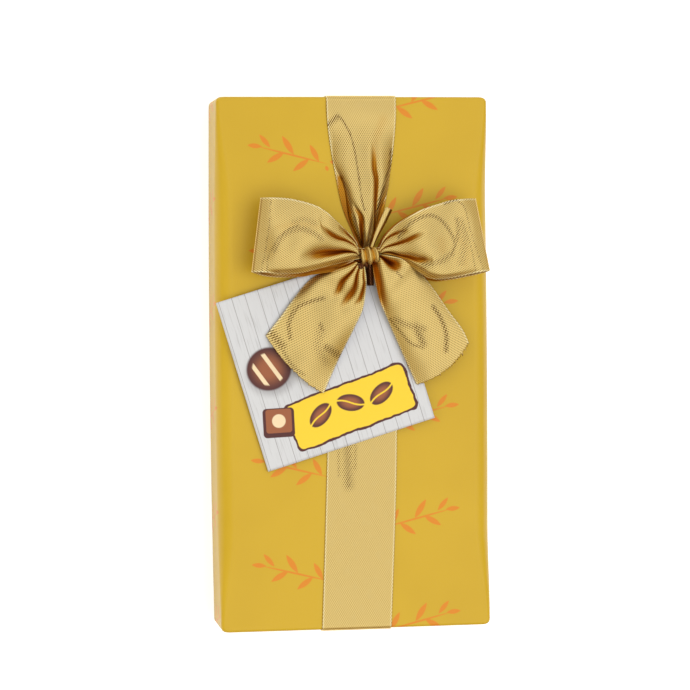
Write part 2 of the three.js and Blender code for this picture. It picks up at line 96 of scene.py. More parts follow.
# %% Node helpers
def put(tree, kind, inputs=None, **options):
    """A new node with these options; inputs are other sockets to link, or plain values."""
    made = tree.nodes.new(kind)
    for name, value in options.items():
        setattr(made, name, value)
    for name, value in (inputs or {}).items():
        if isinstance(value, bpy.types.NodeSocket):
            tree.links.new(value, made.inputs[name])
        else:
            made.inputs[name].default_value = value
    return made


def calc(tree, operation, *values):
    """The result of one Math node."""
    return put(tree, "ShaderNodeMath", dict(enumerate(values)), operation=operation).outputs[0]


def vector_calc(tree, operation, *values):
    """The result of one Vector Math node."""
    made = put(tree, "ShaderNodeVectorMath", dict(enumerate(values)), operation=operation)
    return made.outputs["Value" if operation in ("LENGTH", "DOT_PRODUCT") else "Vector"]


def seen_from(tree, vector, x, y, turn, scale=(1, 1, 1)):
    """A place as seen from a point on the flat map, turned by degrees, in scales of its own."""
    seat = {"Vector": vector, "Location": (x, y, 0), "Rotation": (0, 0, math.radians(turn)),
            "Scale": scale}
    return put(tree, "ShaderNodeMapping", seat, vector_type="TEXTURE").outputs["Vector"]


def soft_step(tree, value, low, high):
    """0 below low, 1 above high, and a smooth rise between them."""
    limits = {"Value": value, "From Min": low, "From Max": high}
    return put(tree, "ShaderNodeMapRange", limits, interpolation_type="SMOOTHSTEP").outputs["Result"]


def blend_colour(tree, share, first, second):
    """first where share is 0, second where it is 1; both are sockets or linear colours."""
    a, b = (c if isinstance(c, bpy.types.NodeSocket) else (*c, 1) for c in (first, second))
    return put(tree, "ShaderNodeMix", {0: share, 6: a, 7: b}, data_type="RGBA").outputs[2]


def new_group(name, inputs, outputs):
    """An empty node group with float sockets, or vector ones where the name is Vector."""
    tree = bpy.data.node_groups.new(name, "ShaderNodeTree")
    for title, way in [(t, "INPUT") for t in inputs] + [(t, "OUTPUT") for t in outputs]:
        kind = "NodeSocketVector" if title == "Vector" else "NodeSocketFloat"
        tree.interface.new_socket(title, in_out=way, socket_type=kind)
    return tree, tree.nodes.new("NodeGroupInput").outputs, tree.nodes.new("NodeGroupOutput").inputs


def use_group(tree, group, **inputs):
    """A copy of a node group placed in a material."""
    return put(tree, "ShaderNodeGroup", inputs, node_tree=group).outputs


def new_material(name, **values):
    """A material with one Principled BSDF, whose plain values are set on its own sockets."""
    material = bpy.data.materials.new(name)
    material.use_nodes = True
    shader = material.node_tree.nodes["Principled BSDF"]
    for title, value in values.items():
        shader.inputs[title.replace("_", " ")].default_value = value
    return material, material.node_tree, shader


def feed(tree, shader, **sockets):
    """Links sockets to inputs of the shader; an underscore stands for a space."""
    for title, socket in sockets.items():
        tree.links.new(socket, shader.inputs[title.replace("_", " ")])


def raise_bumps(tree, shader, height, strength, depth):
    """Tilts the surface by a height that is depth metres where it is 1."""
    bump = put(tree, "ShaderNodeBump", {"Height": height, "Strength": strength, "Distance": depth})
    feed(tree, shader, Normal=bump.outputs["Normal"])


def flat_map(tree):
    """Where a point lies on the flat sheet, in millimetres."""
    return put(tree, "ShaderNodeUVMap", uv_map="flat").outputs["UV"]


def own_place(tree):
    """Where a point lies on its piece, in metres."""
    return put(tree, "ShaderNodeTexCoord").outputs["Object"]


def srgb(red, green, blue):
    """A colour as a picture program gives it, from 0 to 255, made linear."""
    shares = (channel / 255 for channel in (red, green, blue))
    return tuple(s / 12.92 if s <= 0.04045 else ((s + 0.055) / 1.055) ** 2.4 for s in shares)


# %% [markdown]
# ## Light, floor and background
# Bright metal thread shows the room more than itself, so the room matters. The dome is white overhead and
# a dim warm brown at its rim, which makes the folds of the ribbon go brown. A brighter ring round the
# crown lights up the slopes of the ribbon. Two lamps, which the metal does not mirror, add the rest: a
# key high on the right and a fill for the left side. Beyond the far end stands a white screen, which
# draws the bright lines along the folds.

# %% Dome and lamps
# Height on the dome, from its rim at 0 to its crown at 1, and the light that comes from there.
DOME = (
    (0.0, (0.14, 0.05, 0.01)), (0.2, (0.27, 0.11, 0.02)), (0.36, (0.47, 0.27, 0.07)),
    (0.5, (0.71, 0.57, 0.27)), (0.62, (0.8, 0.74, 0.58)), (0.72, (0.86, 0.85, 0.8)),
    (0.8, (1.1, 1.1, 1.1)), (0.86, (1.46, 1.46, 1.46)), (0.93, (1.4, 1.4, 1.4)),
    (0.98, (0.98, 0.98, 0.98)), (1.0, (0.84, 0.84, 0.84)),
)
DOME_CROWN = Vector((0.16, 0.09, 1.0)).normalized()
DOME_STRENGTH = 0.91
SCREEN = (0.95, 0.93, 0.86)
SCREEN_FROM, SCREEN_FULL = 0.3, 0.85
LAMPS = (
    ("key", (380, -120, 930), 3.2, (1, 1, 1)),
    ("fill", (-800, 0, 260), 2.6, (0.97, 1, 0.78)),
)
LAMP_SIZE = 0.7

world = bpy.data.worlds.new("dome")
world.use_nodes = True
scene.world = world
sky = world.node_tree
heading = put(sky, "ShaderNodeTexCoord").outputs["Generated"]
ramp = put(sky, "ShaderNodeValToRGB", {"Fac": vector_calc(sky, "DOT_PRODUCT", heading, DOME_CROWN)})
stops = ramp.color_ramp.elements
for count, (place, light) in enumerate(DOME):
    stop = stops[count] if count < 2 else stops.new(place)
    stop.position = place
    stop.color = (*light, 1)
beyond = put(sky, "ShaderNodeSeparateXYZ", {"Vector": heading}).outputs["Y"]
room = blend_colour(sky, soft_step(sky, beyond, SCREEN_FROM, SCREEN_FULL), ramp.outputs["Color"], SCREEN)
sky.links.new(room, sky.nodes["Background"].inputs["Color"])
sky.nodes["Background"].inputs["Strength"].default_value = DOME_STRENGTH

for name, place, watts, tint in LAMPS:
    data = bpy.data.lights.new(name, "AREA")
    data.size = LAMP_SIZE
    data.energy = watts
    data.color = tint
    lamp = bpy.data.objects.new(name, data)
    scene.collection.objects.link(lamp)
    lamp.location = Vector(place) * MM
    lamp.rotation_euler = (-lamp.location).to_track_quat("-Z", "Y").to_euler()
    lamp.visible_glossy = False
scene.view_settings.view_transform = "Standard"
print("dome stops:", len(stops), "lamps:", len(LAMPS))

# %% [markdown]
# The floor is a pale sheet that stays white to the camera and still takes a shadow. A weak glow lifts its
# white without lighting the box. The metal mirrors a little of that glow.

# %% Floor
FLOOR_HALF = 12.0
FLOOR_GLOW = 0.56
FLOOR_SHEEN = 0.35

material, tree, shader = new_material("floor_white", Roughness=0.9, Base_Color=(0.86, 0.86, 0.86, 1),
                                      Emission_Color=(1, 1, 1, 1))
rays = put(tree, "ShaderNodeLightPath").outputs
mirrored = calc(tree, "MULTIPLY", rays["Is Glossy Ray"], FLOOR_SHEEN)
glow = calc(tree, "MULTIPLY_ADD", rays["Is Camera Ray"], FLOOR_GLOW, mirrored)
feed(tree, shader, Emission_Strength=glow)
sheet = bmesh.new()
bmesh.ops.create_grid(sheet, x_segments=1, y_segments=1, size=FLOOR_HALF)
floor = bpy.data.objects.new("floor", bpy.data.meshes.new("floor"))
sheet.to_mesh(floor.data)
sheet.free()
floor.data.materials.append(material)
scene.collection.objects.link(floor)
floor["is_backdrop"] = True
print("floor half width in m:", FLOOR_HALF)

# %% [markdown]
# ## Lines, edges and strips
# Ribbon is easiest to shape as a grid: one direction runs along the ribbon, the other across it. Each
# strip has a formula that says where a point of the flat ribbon goes. The flat place is kept as a UV map
# in millimetres, so that the weave keeps its size however the ribbon is folded.


# %% Lines through points
def smooth(points, steps=24):
    """Points close together on a curve that passes through the given ones."""
    p = [np.array(point, float) for point in points]
    p = [2 * p[0] - p[1], *p, 2 * p[-1] - p[-2]]
    line = []
    for a, b, c, d in zip(p, p[1:], p[2:], p[3:]):
        before, here, after = (np.linalg.norm(e - f) ** 0.5 for e, f in ((b, a), (c, b), (d, c)))
        leave = ((b - a) / before - (c - a) / (before + here)) * here + c - b
        arrive = ((d - c) / after - (d - b) / (here + after)) * here + c - b
        for t in np.arange(steps) / steps:
            ends = b * (2 * t**3 - 3 * t**2 + 1) + c * (3 * t**2 - 2 * t**3)
            line.append(ends + leave * (t**3 - 2 * t**2 + t) + arrive * (t**3 - t**2))
    return np.array([*line, p[-2]])


def value_through(pairs):
    """A smooth value that passes through pairs of place and value."""
    table = smooth(pairs)
    return lambda place: np.interp(place, table[:, 0], table[:, 1])


def walk(line):
    """The length of a line, and a function from a share of that length to the point there."""
    steps = np.linalg.norm(np.diff(line, axis=0), axis=1)
    shares = np.concatenate([[0], np.cumsum(steps)]) / steps.sum()
    return steps.sum(), lambda share: np.stack([np.interp(share, shares, x) for x in line.T], -1)


def mix(a, b, share):
    return a + (b - a) * share


def ease(share):
    share = np.clip(share, 0, 1)
    return share * share * (3 - 2 * share)


# %% Grids and pieces
def finish_piece(name, mesh, material, body, nodes=()):
    """The bmesh as a named piece that rides on a body, has a slot and stands for CAD nodes."""
    data = bpy.data.meshes.new(name)
    mesh.to_mesh(data)
    mesh.free()
    data.polygons.foreach_set("use_smooth", [True] * len(data.polygons))
    data.materials.append(material)
    piece = bpy.data.objects.new(name, data)
    scene.collection.objects.link(piece)
    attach(piece, body)
    if nodes:
        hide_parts(*nodes)
    print(name, "faces:", len(data.polygons))
    return piece


def thicken(piece, thick, offset=0.0):
    """Gives a sheet its thickness, in millimetres; an offset of -1 keeps its outer face in place."""
    wall = piece.modifiers.new("thickness", "SOLIDIFY")
    wall.thickness = thick * MM
    wall.offset = offset


def grow(mesh, edges):
    """Extrudes edges; gives the new edges and the new vertices, which are still in the old place."""
    made = bmesh.ops.extrude_edge_only(mesh, edges=edges)["geom"]
    kinds = (bmesh.types.BMEdge, bmesh.types.BMVert)
    return ([part for part in made if isinstance(part, kind)] for kind in kinds)


def map_flat(mesh, place):
    """Writes the UV map flat; place gives a vertex its place on the flat sheet, in millimetres."""
    uv = mesh.loops.layers.uv.new("flat")
    for face in mesh.faces:
        for corner in face.loops:
            corner[uv].uv = place(corner.vert)


def shaped_grid(across, along, place, flat):
    """A grid whose points go to place(s, v) and whose UV map is flat(s, v), both in millimetres.
    s runs along the grid and v across it, each from 0 to 1. Where place gives a fourth and a fifth value,
    they are kept as the attributes fold, the strength of the painted fold shade there, and bend, the
    strength of the painted dark reflection dots there. The attribute edge is 0 on the middle line and 1 on
    both long edges."""
    mesh = bmesh.new()
    bmesh.ops.create_grid(mesh, x_segments=across, y_segments=along, size=0.5)
    mesh.verts.index_update()
    start = np.array([vert.co for vert in mesh.verts])
    s, v = start[:, 1] + 0.5, start[:, 0] + 0.5
    points, flats = place(s, v), flat(s, v)
    edge, *marks = (mesh.verts.layers.float.new(title) for title in ("edge", "fold", "bend"))
    for vert in mesh.verts:
        x, y, z, *values = points[vert.index]
        vert.co = Vector((x, y, z)) * MM
        vert[edge] = abs(2 * v[vert.index] - 1)
        for layer, value in zip(marks, values):
            vert[layer] = value
    map_flat(mesh, lambda vert: flats[vert.index])
    return mesh


# %% [markdown]
# ## Ribbon weave
# The ribbon is woven from pale yarn and flat metal strips in a fine diagonal twill. Up close the strips
# are beads about half a millimetre long. A node group draws them from the flat map, once, and every
# ribbon uses it: its height feeds the bump, and its mask makes the strips smoother than the yarn. Along
# given lines where the ribbon bends, rows of dark dots are painted in, as painted reflection of the dark
# room there; a weak even level of dots lies over the rest. The attribute bend says how strong. Deep in a
# fold the colour is painted brown and darker, as painted shade for light that reaches there only after
# many bounces on gold: the attribute fold says how deep.

# %% Weave group and ribbon materials
WEAVE_ACROSS = 0.77
WEAVE_ALONG = 1.26
THREAD_HEIGHT = 0.00004
YARN_ROUGH = 0.41
STRIP_ROUGH = 0.29

weave, weave_in, weave_out = new_group("twill_weave", ["Vector"], ["Height", "Strip"])
parts = put(weave, "ShaderNodeSeparateXYZ", {"Vector": weave_in["Vector"]}).outputs
across = calc(weave, "MULTIPLY", parts["X"], 2 * math.pi / WEAVE_ACROSS)
along = calc(weave, "MULTIPLY", parts["Y"], 2 * math.pi / WEAVE_ALONG)
twill = calc(weave, "COSINE", calc(weave, "ADD", across, along))
counter = calc(weave, "COSINE", calc(weave, "SUBTRACT", across, along))
beads = calc(weave, "MULTIPLY_ADD", twill, 0.3, calc(weave, "MULTIPLY_ADD", counter, 0.2, 0.5))
weave.links.new(beads, weave_out["Height"])
weave.links.new(soft_step(weave, beads, 0.4, 0.52), weave_out["Strip"])


def ribbon_material(name, yarn, strip, selvedge, gap, fold_shade_brown, fold_shade_deep, metal):
    """Woven metallic ribbon: its linear colours, from thread to the painted shade of the deepest fold, and
    how metallic it is.
    """
    material, tree, shader = new_material(name, Metallic=metal)
    flat = flat_map(tree)
    threads = use_group(tree, weave, Vector=flat)
    cloud = put(tree, "ShaderNodeTexNoise", {"Vector": flat, "Scale": 0.35, "Detail": 3.0})
    shade = blend_colour(tree, threads["Strip"], yarn, strip)
    worn = tuple(channel * 0.9 for channel in strip)
    spots = calc(tree, "MULTIPLY", soft_step(tree, cloud.outputs["Fac"], 0.5, 0.75), 0.5)
    shade = blend_colour(tree, spots, shade, worn)
    fold, bend, edge = (put(tree, "ShaderNodeAttribute", attribute_name=title).outputs["Fac"]
                        for title in ("fold", "bend", "edge"))
    rim = calc(tree, "MULTIPLY", soft_step(tree, edge, 0.94, 0.97), threads["Height"])
    shade = blend_colour(tree, rim, shade, selvedge)
    # Painted shade: brown where the attribute fold is high, darker at the foot of deep folds, hatched by
    # the weave at its edge.
    fold_shade_share = calc(tree, "MULTIPLY_ADD", threads["Height"], -0.16, calc(tree, "ADD", fold, 0.08))
    shade = blend_colour(tree, soft_step(tree, fold_shade_share, 0.08, 0.42), shade, fold_shade_brown)
    shade = blend_colour(tree, soft_step(tree, fold, 0.5, 1.1), shade, fold_shade_deep)
    # Painted reflection: dark dots where the attribute bend is strong, between the raised beads.
    glint_dot_share = calc(tree, "SUBTRACT", calc(tree, "MULTIPLY_ADD", bend, 1.9, -0.1), threads["Height"])
    shade = blend_colour(tree, soft_step(tree, glint_dot_share, -0.1, 0.12), shade, gap)
    rough = calc(tree, "MULTIPLY_ADD", threads["Strip"], STRIP_ROUGH - YARN_ROUGH, YARN_ROUGH)
    feed(tree, shader, Base_Color=shade, Roughness=rough)
    raise_bumps(tree, shader, threads["Height"], 0.5, THREAD_HEIGHT)
    return material


# Colours: yarn, strip, selvedge, painted dark reflection dots, painted fold shade, painted shade at the
# foot of deep folds.
GOLD = ((0.61, 0.43, 0.135), (0.765, 0.57, 0.215), (0.95, 0.84, 0.5), (0.13, 0.06, 0.012),
        (0.53, 0.225, 0.014),
        (0.2, 0.045, 0.004))
# The tie's lower end, its wrap and its post are the gold ribbon painted dark brown all over, as shade below
# the knot; its upper end stays gold.
TIE_SHADE_COLOURS = ((0.05, 0.012, 0.004), (0.16, 0.06, 0.018), (0.16, 0.06, 0.018), (0.03, 0.008, 0.003),
          (0.1, 0.03, 0.01),
          (0.05, 0.01, 0.003))
RIBBON_GOLD = ribbon_material("ribbon_gold", *GOLD, metal=0.92)
TIE_PAINTED_SHADE = ribbon_material("tie_dark_shade", *TIE_SHADE_COLOURS, metal=0.85)
print("ribbon materials made")

# %% [markdown]
# ## Covering paper
# The paper is a satin gold with a small orange print. The print here is a plain sprig, repeated by
# folding the flat map into cells: every other column drops by half a cell and is mirrored. A leaf is a
# strip whose half width shrinks to nothing at both ends.

# %% Leaf and sprig groups
leaf, leaf_in, leaf_out = new_group("leaf", ["Vector", "Length", "Width"], ["Mask"])
parts = put(leaf, "ShaderNodeSeparateXYZ", {"Vector": leaf_in["Vector"]}).outputs
reach = calc(leaf, "DIVIDE", parts["X"], leaf_in["Length"])
taper = calc(leaf, "SUBTRACT", 1.0, calc(leaf, "MULTIPLY", reach, reach))
half_width = calc(leaf, "MULTIPLY", leaf_in["Width"], taper)
inside = calc(leaf, "SUBTRACT", half_width, calc(leaf, "ABSOLUTE", parts["Y"]))
leaf.links.new(soft_step(leaf, inside, -0.06, 0.06), leaf_out["Mask"])

# Leaves of one sprig: where the middle is, which way it points, half its length and half its width.
SPRIG = (
    (0.0, 0.0, 14, 13.5, 0.34),
    (-8.2, 0.6, 62, 3.4, 0.95),
    (-3.4, -3.6, -36, 3.6, 1.0),
    (1.2, 3.4, 58, 3.9, 1.05),
    (5.6, -0.9, -30, 3.6, 1.0),
    (9.4, 4.9, 50, 3.0, 0.85),
    (13.0, 3.2, 6, 2.6, 0.85),
    (-12.6, -4.8, 70, 1.0, 0.62),
    (-14.6, -2.6, 20, 0.9, 0.6),
)


def leaves(tree, vector, rows):
    """Every leaf in rows, as one mask."""
    mask = None
    for x, y, turn, length, width in rows:
        spot = seen_from(tree, vector, x, y, turn)
        one = use_group(tree, leaf, Vector=spot, Length=length, Width=width)["Mask"]
        mask = one if mask is None else calc(tree, "MAXIMUM", mask, one)
    return mask


CELL_WIDE = 44.0
CELL_HIGH = 37.0

sprigs, sprigs_in, sprigs_out = new_group("sprigs", ["Vector"], ["Mask"])
parts = put(sprigs, "ShaderNodeSeparateXYZ", {"Vector": sprigs_in["Vector"]}).outputs
column = calc(sprigs, "FLOOR", calc(sprigs, "DIVIDE", parts["X"], CELL_WIDE))
odd = calc(sprigs, "FLOORED_MODULO", column, 2.0)
dropped = calc(sprigs, "MULTIPLY_ADD", odd, CELL_HIGH / 2, parts["Y"])
in_x = calc(sprigs, "SUBTRACT", calc(sprigs, "FLOORED_MODULO", parts["X"], CELL_WIDE), CELL_WIDE / 2)
in_y = calc(sprigs, "SUBTRACT", calc(sprigs, "FLOORED_MODULO", dropped, CELL_HIGH), CELL_HIGH / 2)
facing = calc(sprigs, "MULTIPLY_ADD", odd, -2.0, 1.0)
cell = put(sprigs, "ShaderNodeCombineXYZ", {"X": calc(sprigs, "MULTIPLY", in_x, facing), "Y": in_y})
sprigs.links.new(leaves(sprigs, cell.outputs["Vector"], SPRIG), sprigs_out["Mask"])

# %% Fibre group and gold paper
fibre, fibre_in, fibre_out = new_group("fibre", ["Vector", "Scale"], ["Height"])
grains = {"Vector": fibre_in["Vector"], "Scale": fibre_in["Scale"], "Detail": 4.0}
fine = put(fibre, "ShaderNodeTexNoise", grains)
fibre.links.new(fine.outputs["Fac"], fibre_out["Height"])

PAPER_GOLD_SHADE = srgb(202, 166, 34)
PRINT_ORANGE = srgb(216, 128, 24)
INK_COVER = 0.9
PAPER_TOOTH = 0.00005

PAPER_GOLD, tree, shader = new_material("paper_gold", Specular_IOR_Level=0.25, Coat_Weight=0.35,
                                        Coat_Roughness=0.25)
flat = flat_map(tree)
ink = use_group(tree, sprigs, Vector=flat)["Mask"]
cloud = put(tree, "ShaderNodeTexNoise", {"Vector": flat, "Scale": 0.03, "Detail": 2.0}).outputs["Fac"]
deeper = tuple(channel * share for channel, share in zip(PAPER_GOLD_SHADE, (0.96, 0.95, 0.88)))
stock = blend_colour(tree, soft_step(tree, cloud, 0.35, 0.7), PAPER_GOLD_SHADE, deeper)
printed = blend_colour(tree, calc(tree, "MULTIPLY", ink, INK_COVER), stock, PRINT_ORANGE)
tooth = use_group(tree, fibre, Vector=flat, Scale=1.6)["Height"]
feed(tree, shader, Base_Color=printed, Roughness=calc(tree, "MULTIPLY_ADD", tooth, 0.14, 0.36))
raise_bumps(tree, shader, tooth, 0.25, PAPER_TOOTH)
print("paper material made")

# %% [markdown]
# ## Lid paper
# The lid is covered with one sheet of paper, turned in under the rim. Its long edges are soft: their
# radius grows from the corners to mid length, and the sides bulge a little. A grid follows that section
# along the box. The two ends are then filled, and the rim is extruded inwards and up.

# %% Lid paper
LENGTH = 189.0
END_WIDTH = 97.0
BELLY = 0.7
HEIGHT = 26.0
RIM_Z = 1.5
CORNER_PLAN = 2.0
END_EDGE = 1.1
LONG_EDGE = 6.6
LONG_EDGE_END = 1.4
EDGE_RUN = 38.0
LID_WALL = 2.3
TURN_IN = 12.0
HALF_L = LENGTH / 2
PAPER = 0.22
END_INSET = 0.6


def section_size(y):
    """Half width, top level and edge radius of the lid at this place along it."""
    gap = HALF_L - np.abs(y)
    in_plan = np.clip(CORNER_PLAN - gap, 0, CORNER_PLAN)
    in_edge = np.clip(END_EDGE - gap, 0, END_EDGE)
    cut = CORNER_PLAN - np.sqrt(CORNER_PLAN**2 - in_plan**2)
    drop = END_EDGE - np.sqrt(END_EDGE**2 - in_edge**2)
    half = END_WIDTH / 2 + BELLY * (1 - (y / HALF_L) ** 2) - cut
    return half, HEIGHT - drop, mix(LONG_EDGE_END, LONG_EDGE, ease(gap / EDGE_RUN))


# Shares of the grid, and how far along the side, round the edge and over the top they reach.
SECTION = ((0.0, 0.0), (0.12, 1.0), (0.32, 2.0), (0.5, 3.0))
STATION = ((0.0, 0.0), (0.08, 1.2), (0.14, 4.0), (0.5, HALF_L))


def lid_point(s, v):
    """Where a point of the paper lies: v runs over the lid from rim to rim, s from end to end."""
    near_end = np.interp(np.minimum(s, 1 - s), *zip(*STATION))
    y = (near_end - HALF_L) * np.where(s < 0.5, 1, -1)
    half, top, radius = section_size(y)
    stage = np.interp(np.minimum(v, 1 - v), *zip(*SECTION))
    up, turn, over = (np.clip(stage - k, 0, 1) for k in range(3))
    angle = turn * math.pi / 2
    x = half - radius + radius * np.cos(angle) - over * (half - radius)
    z = mix(RIM_Z, top - radius, up) + radius * np.sin(angle)
    side = np.where(v < 0.5, -1, 1)
    from_middle = (1 - over) * (half - radius) + (1 - turn) * radius * math.pi / 2
    from_middle = from_middle + (1 - up) * (top - radius - RIM_Z)
    return np.stack([x * side, y, z], -1), np.stack([from_middle * side, y], -1)


paper = shaped_grid(100, 140, lambda s, v: lid_point(s, v)[0], lambda s, v: lid_point(s, v)[1])
for end in (-1, 1):
    chain = [e for e in paper.edges if all(v.co.y * end > (HALF_L - 0.01) * MM for v in e.verts)]
    corners = [v for e in chain for v in e.verts if v.co.z < (RIM_Z + 0.01) * MM]
    wall = bmesh.ops.contextual_create(paper, geom=chain + [paper.edges.new(corners)])["faces"]
    bmesh.ops.inset_region(paper, faces=wall, thickness=END_INSET * MM)
bmesh.ops.recalc_face_normals(paper, faces=paper.faces)
rim = [e for e in paper.edges if e.is_boundary]
for level in (RIM_Z, RIM_Z + TURN_IN):
    rim, moved = grow(paper, rim)
    inner = (END_WIDTH / 2 - LID_WALL, HALF_L - LID_WALL)
    for vert in moved:
        x, y = (max(-most, min(most, c / MM)) for c, most in zip(vert.co.xy, inner))
        vert.co = Vector((x, y, level)) * MM
bmesh.ops.remove_doubles(paper, verts=paper.verts, dist=1e-6)
flat_uv = paper.loops.layers.uv["flat"]
for face in paper.faces:
    if abs(face.normal.y) > 0.9:
        outward = math.copysign(1, face.calc_center_median().y)
        for corner in face.loops:
            x, y, z = corner.vert.co / MM
            corner[flat_uv].uv = (x, outward * (HALF_L + HEIGHT - z))
lid_paper = finish_piece("lid_paper", paper, PAPER_GOLD, "lid", ["lid_wrap"])
thicken(lid_paper, PAPER, -1.0)

# %% [markdown]
# ## Ribbon band
# The band runs round the lid and turns in at both ends. It is flat at the ends and is squeezed to a
# narrow waist under the knot, so it stands up in folds there. Each fold is a valley with its own line,
# width and depth, and it fades out along its line.

# %% Folds
RIBBON_WIDTH = 25.0
RIBBON = 0.25
# A fold is at most this deep for each millimetre of its half width, and its painted shade is full at this
# depth.
FOLD_STEEP = 2.2
FOLD_SHADE_FULL = 5.0


def fold_depth(folds, s, v, breadth):
    """How deep the folds are at s along and v across a strip that is breadth millimetres wide there, and
    how strong their painted shade is: near 1 at the foot of a deep fold.
    A fold is its line of (s, v), its half width at start and end, its depth and the s where it ends.
    Folds take up the spare width of the ribbon, so they are deepest where it is narrowest."""
    spare = np.sqrt(np.clip(1 - (breadth / RIBBON_WIDTH) ** 2, 0, 1))
    deep, dark = np.zeros_like(s), np.zeros_like(s)
    for line, (half_a, half_b), depth, end in folds:
        off = np.abs(v - value_through(line)(s)) * breadth
        half = mix(half_a, half_b, np.clip(s / end, 0, 1))
        here = spare * (1 - ease((s - 0.5 * end) / (0.5 * end)))
        deep = deep + np.minimum(depth, FOLD_STEEP * half) * here * np.exp(-((off / half) ** 1.4))
        # Painted shade of the fold, strongest along its line.
        dark = np.maximum(dark, here * np.exp(-((off / half) ** 3)) * depth / FOLD_SHADE_FULL)
    return deep, dark


def marked(marks, x, y):
    """How strongly a ribbon is marked: each mark is a line of (x, y), its half width and its strength."""
    strength = np.zeros_like(x)
    for points, half, most in marks:
        line = smooth(points, 12)
        off = np.hypot(x[:, None] - line[:, 0], y[:, None] - line[:, 1]).min(axis=1)
        strength = np.maximum(strength, most * np.exp(-((off / half) ** 2)))
    return strength


# Painted dark reflection dots: the period of their slanting rows, and their weak even level on the band and
# on the bow.
BUNCH = 1.05
BAND_DOT_LEVEL = 0.15
BOW_DOT_LEVEL = 0.13


def painted_glint_dots(bends, x, y, least=0.0):
    """The strength of the painted dark reflection dots on a ribbon: strong along its bends, never below
    least, and rising and falling along slanting lines.
    """
    bunch = 0.78 + 0.22 * np.cos(2 * math.pi * (0.9 * x - 0.44 * y) / BUNCH)
    return np.maximum(marked(bends, x, y) * bunch, least)


def unevenness(x, y, phase):
    """Soft waves that a ribbon keeps from its roll and from the hand that tied it, in millimetres."""
    return 0.36 * np.sin(x / 4.4 + y / 6.2 + phase) + 0.3 * np.sin(y / 4.0 - x / 6.6 + 2.3 * phase)


# %% Band
LIFT = 0.3
BEND = 0.4
SKIN_Y = HALF_L + LIFT
INSIDE_Y = HALF_L - LID_WALL - 0.35
SKIN_Z = HEIGHT + LIFT
RIM_LOW = RIM_Z - LIFT
KNOT_Y = 38.2
BAND_CENTRE = ((-94.5, -0.2), (-83, 0.3), (-62, 1.2), (-37, 2.1), (-10, 2.7), (20, 3.4), (38.2, 4.0),
               (46, 4.0), (56, 3.5), (71, 3.25), (94.5, 3.0))
BAND_WIDTH = ((-94.5, 25), (-30, 25), (-5, 24), (12, 17), (26, 9.5), (34, 6.4), (40, 5.8), (43, 6.6),
              (48, 10.2), (52.6, 13.6), (58.4, 16.5), (66, 19.2), (75, 22.2), (86, 24.6), (94.5, 25))
BAND_CREST = ((-94.5, 0), (-30, 0), (0, 0.3), (20, 0.9), (30, 1.2), (36, 1.2), (41, 1.4), (44, 2.8),
              (48, 3.9), (55, 3.7), (62, 3.2), (70, 2.6), (78, 1.9), (85, 1.1), (90, 0.4), (94.5, 0))
BAND_FOLDS = (
    (((0, 0.8), (0.1, 0.85), (0.2, 0.79), (0.32, 0.752), (0.48, 0.741), (0.543, 0.7), (0.64, 0.675),
      (0.8, 0.65)),
     (0.15, 1.5), 6.0, 0.88),
    (((0, 0.31), (0.09, 0.31), (0.17, 0.335), (0.24, 0.373), (0.3, 0.285), (0.38, 0.2)), (0.4, 1.3), 4.6,
     0.37),
    (((0, 0.88), (0.1, 0.9), (0.2, 0.93), (0.34, 0.97), (0.5, 1.03)), (0.9, 1.7), 4.0, 0.46),
    (((0, 0.08), (0.07, 0.06), (0.16, 0.0), (0.28, 0.05), (0.4, 0.07), (0.5, 0.04)), (0.9, 2.2), 4.8,
     0.62),
)
# Lines of painted dark reflection dots on the band: a line of (x, y), its half width and its strength.
BAND_BENDS = (
    (((-8.8, 84.7), (-5.6, 87.6), (-1.8, 82.5), (-0.1, 76.5), (0.8, 71.1), (1.7, 65.2), (2.4, 58.5),
      (3.2, 54.4)),
     0.6, 0.5),
    (((-9.2, 84.3), (-5.6, 87.2)), 1.5, 0.42),
    (((13.5, 75.6), (13.2, 71.5), (12.2, 67.9), (10.0, 61.1), (8.7, 56.7), (7.3, 52.4)), 1.1, 0.5),
    (((-2.2, 55.3), (0.2, 48.1), (2.7, 42.7)), 0.5, 0.3),
    (((-3.1, -26.0), (-2.9, -36.3), (-2.6, -43.0)), 2.4, 0.36),
    (((0.1, -26.0), (-0.5, -37.3)), 0.9, 0.32),
    (((-6.3, -27.0), (-6.2, -39.6)), 0.8, 0.3),
)
# Patches of painted shade on the band: a line of (x, y), its half width and its strength.
BAND_SHADES = (
    (((7.6, 73.3), (8.1, 77.8), (9.0, 82.3), (10.7, 86.4)), 2.8, 0.17),
    (((-4.8, 65.7), (-3.7, 60.8), (-2.0, 53.6)), 1.3, 0.5),
)
UNDER_FOLDS = (
    (((0, 0.35), (0.5, 0.3), (1, 0.3)), (0.8, 2.0), 2.0, 0.9),
    (((0, 0.68), (0.5, 0.7), (1, 0.7)), (0.8, 2.0), 2.0, 0.9),
)

band_round = END_EDGE + LIFT
half_path = [(INSIDE_Y, RIM_Z + TURN_IN + 2), (INSIDE_Y, RIM_LOW + BEND)]
half_path += [(INSIDE_Y + BEND, RIM_LOW), (SKIN_Y - BEND, RIM_LOW), (SKIN_Y, RIM_LOW + BEND)]
for angle in np.linspace(0, math.pi / 2, 9):
    half_path.append((SKIN_Y - band_round + band_round * math.cos(angle),
                      SKIN_Z - band_round + band_round * math.sin(angle)))
band_line = half_path + [(-y, z) for y, z in reversed(half_path)]
band_length, band_at = walk(np.array(band_line, float))
band_centre, band_width, band_crest = (value_through(p) for p in (BAND_CENTRE, BAND_WIDTH, BAND_CREST))


def band_station(s):
    """Where the band is at s: its y and z, whether it lies on the lid, and the place along the lid."""
    y, z = band_at(s).T
    on_top = z > SKIN_Z - 0.01
    return y, z, on_top, np.where(on_top, y, np.sign(y) * HALF_L)


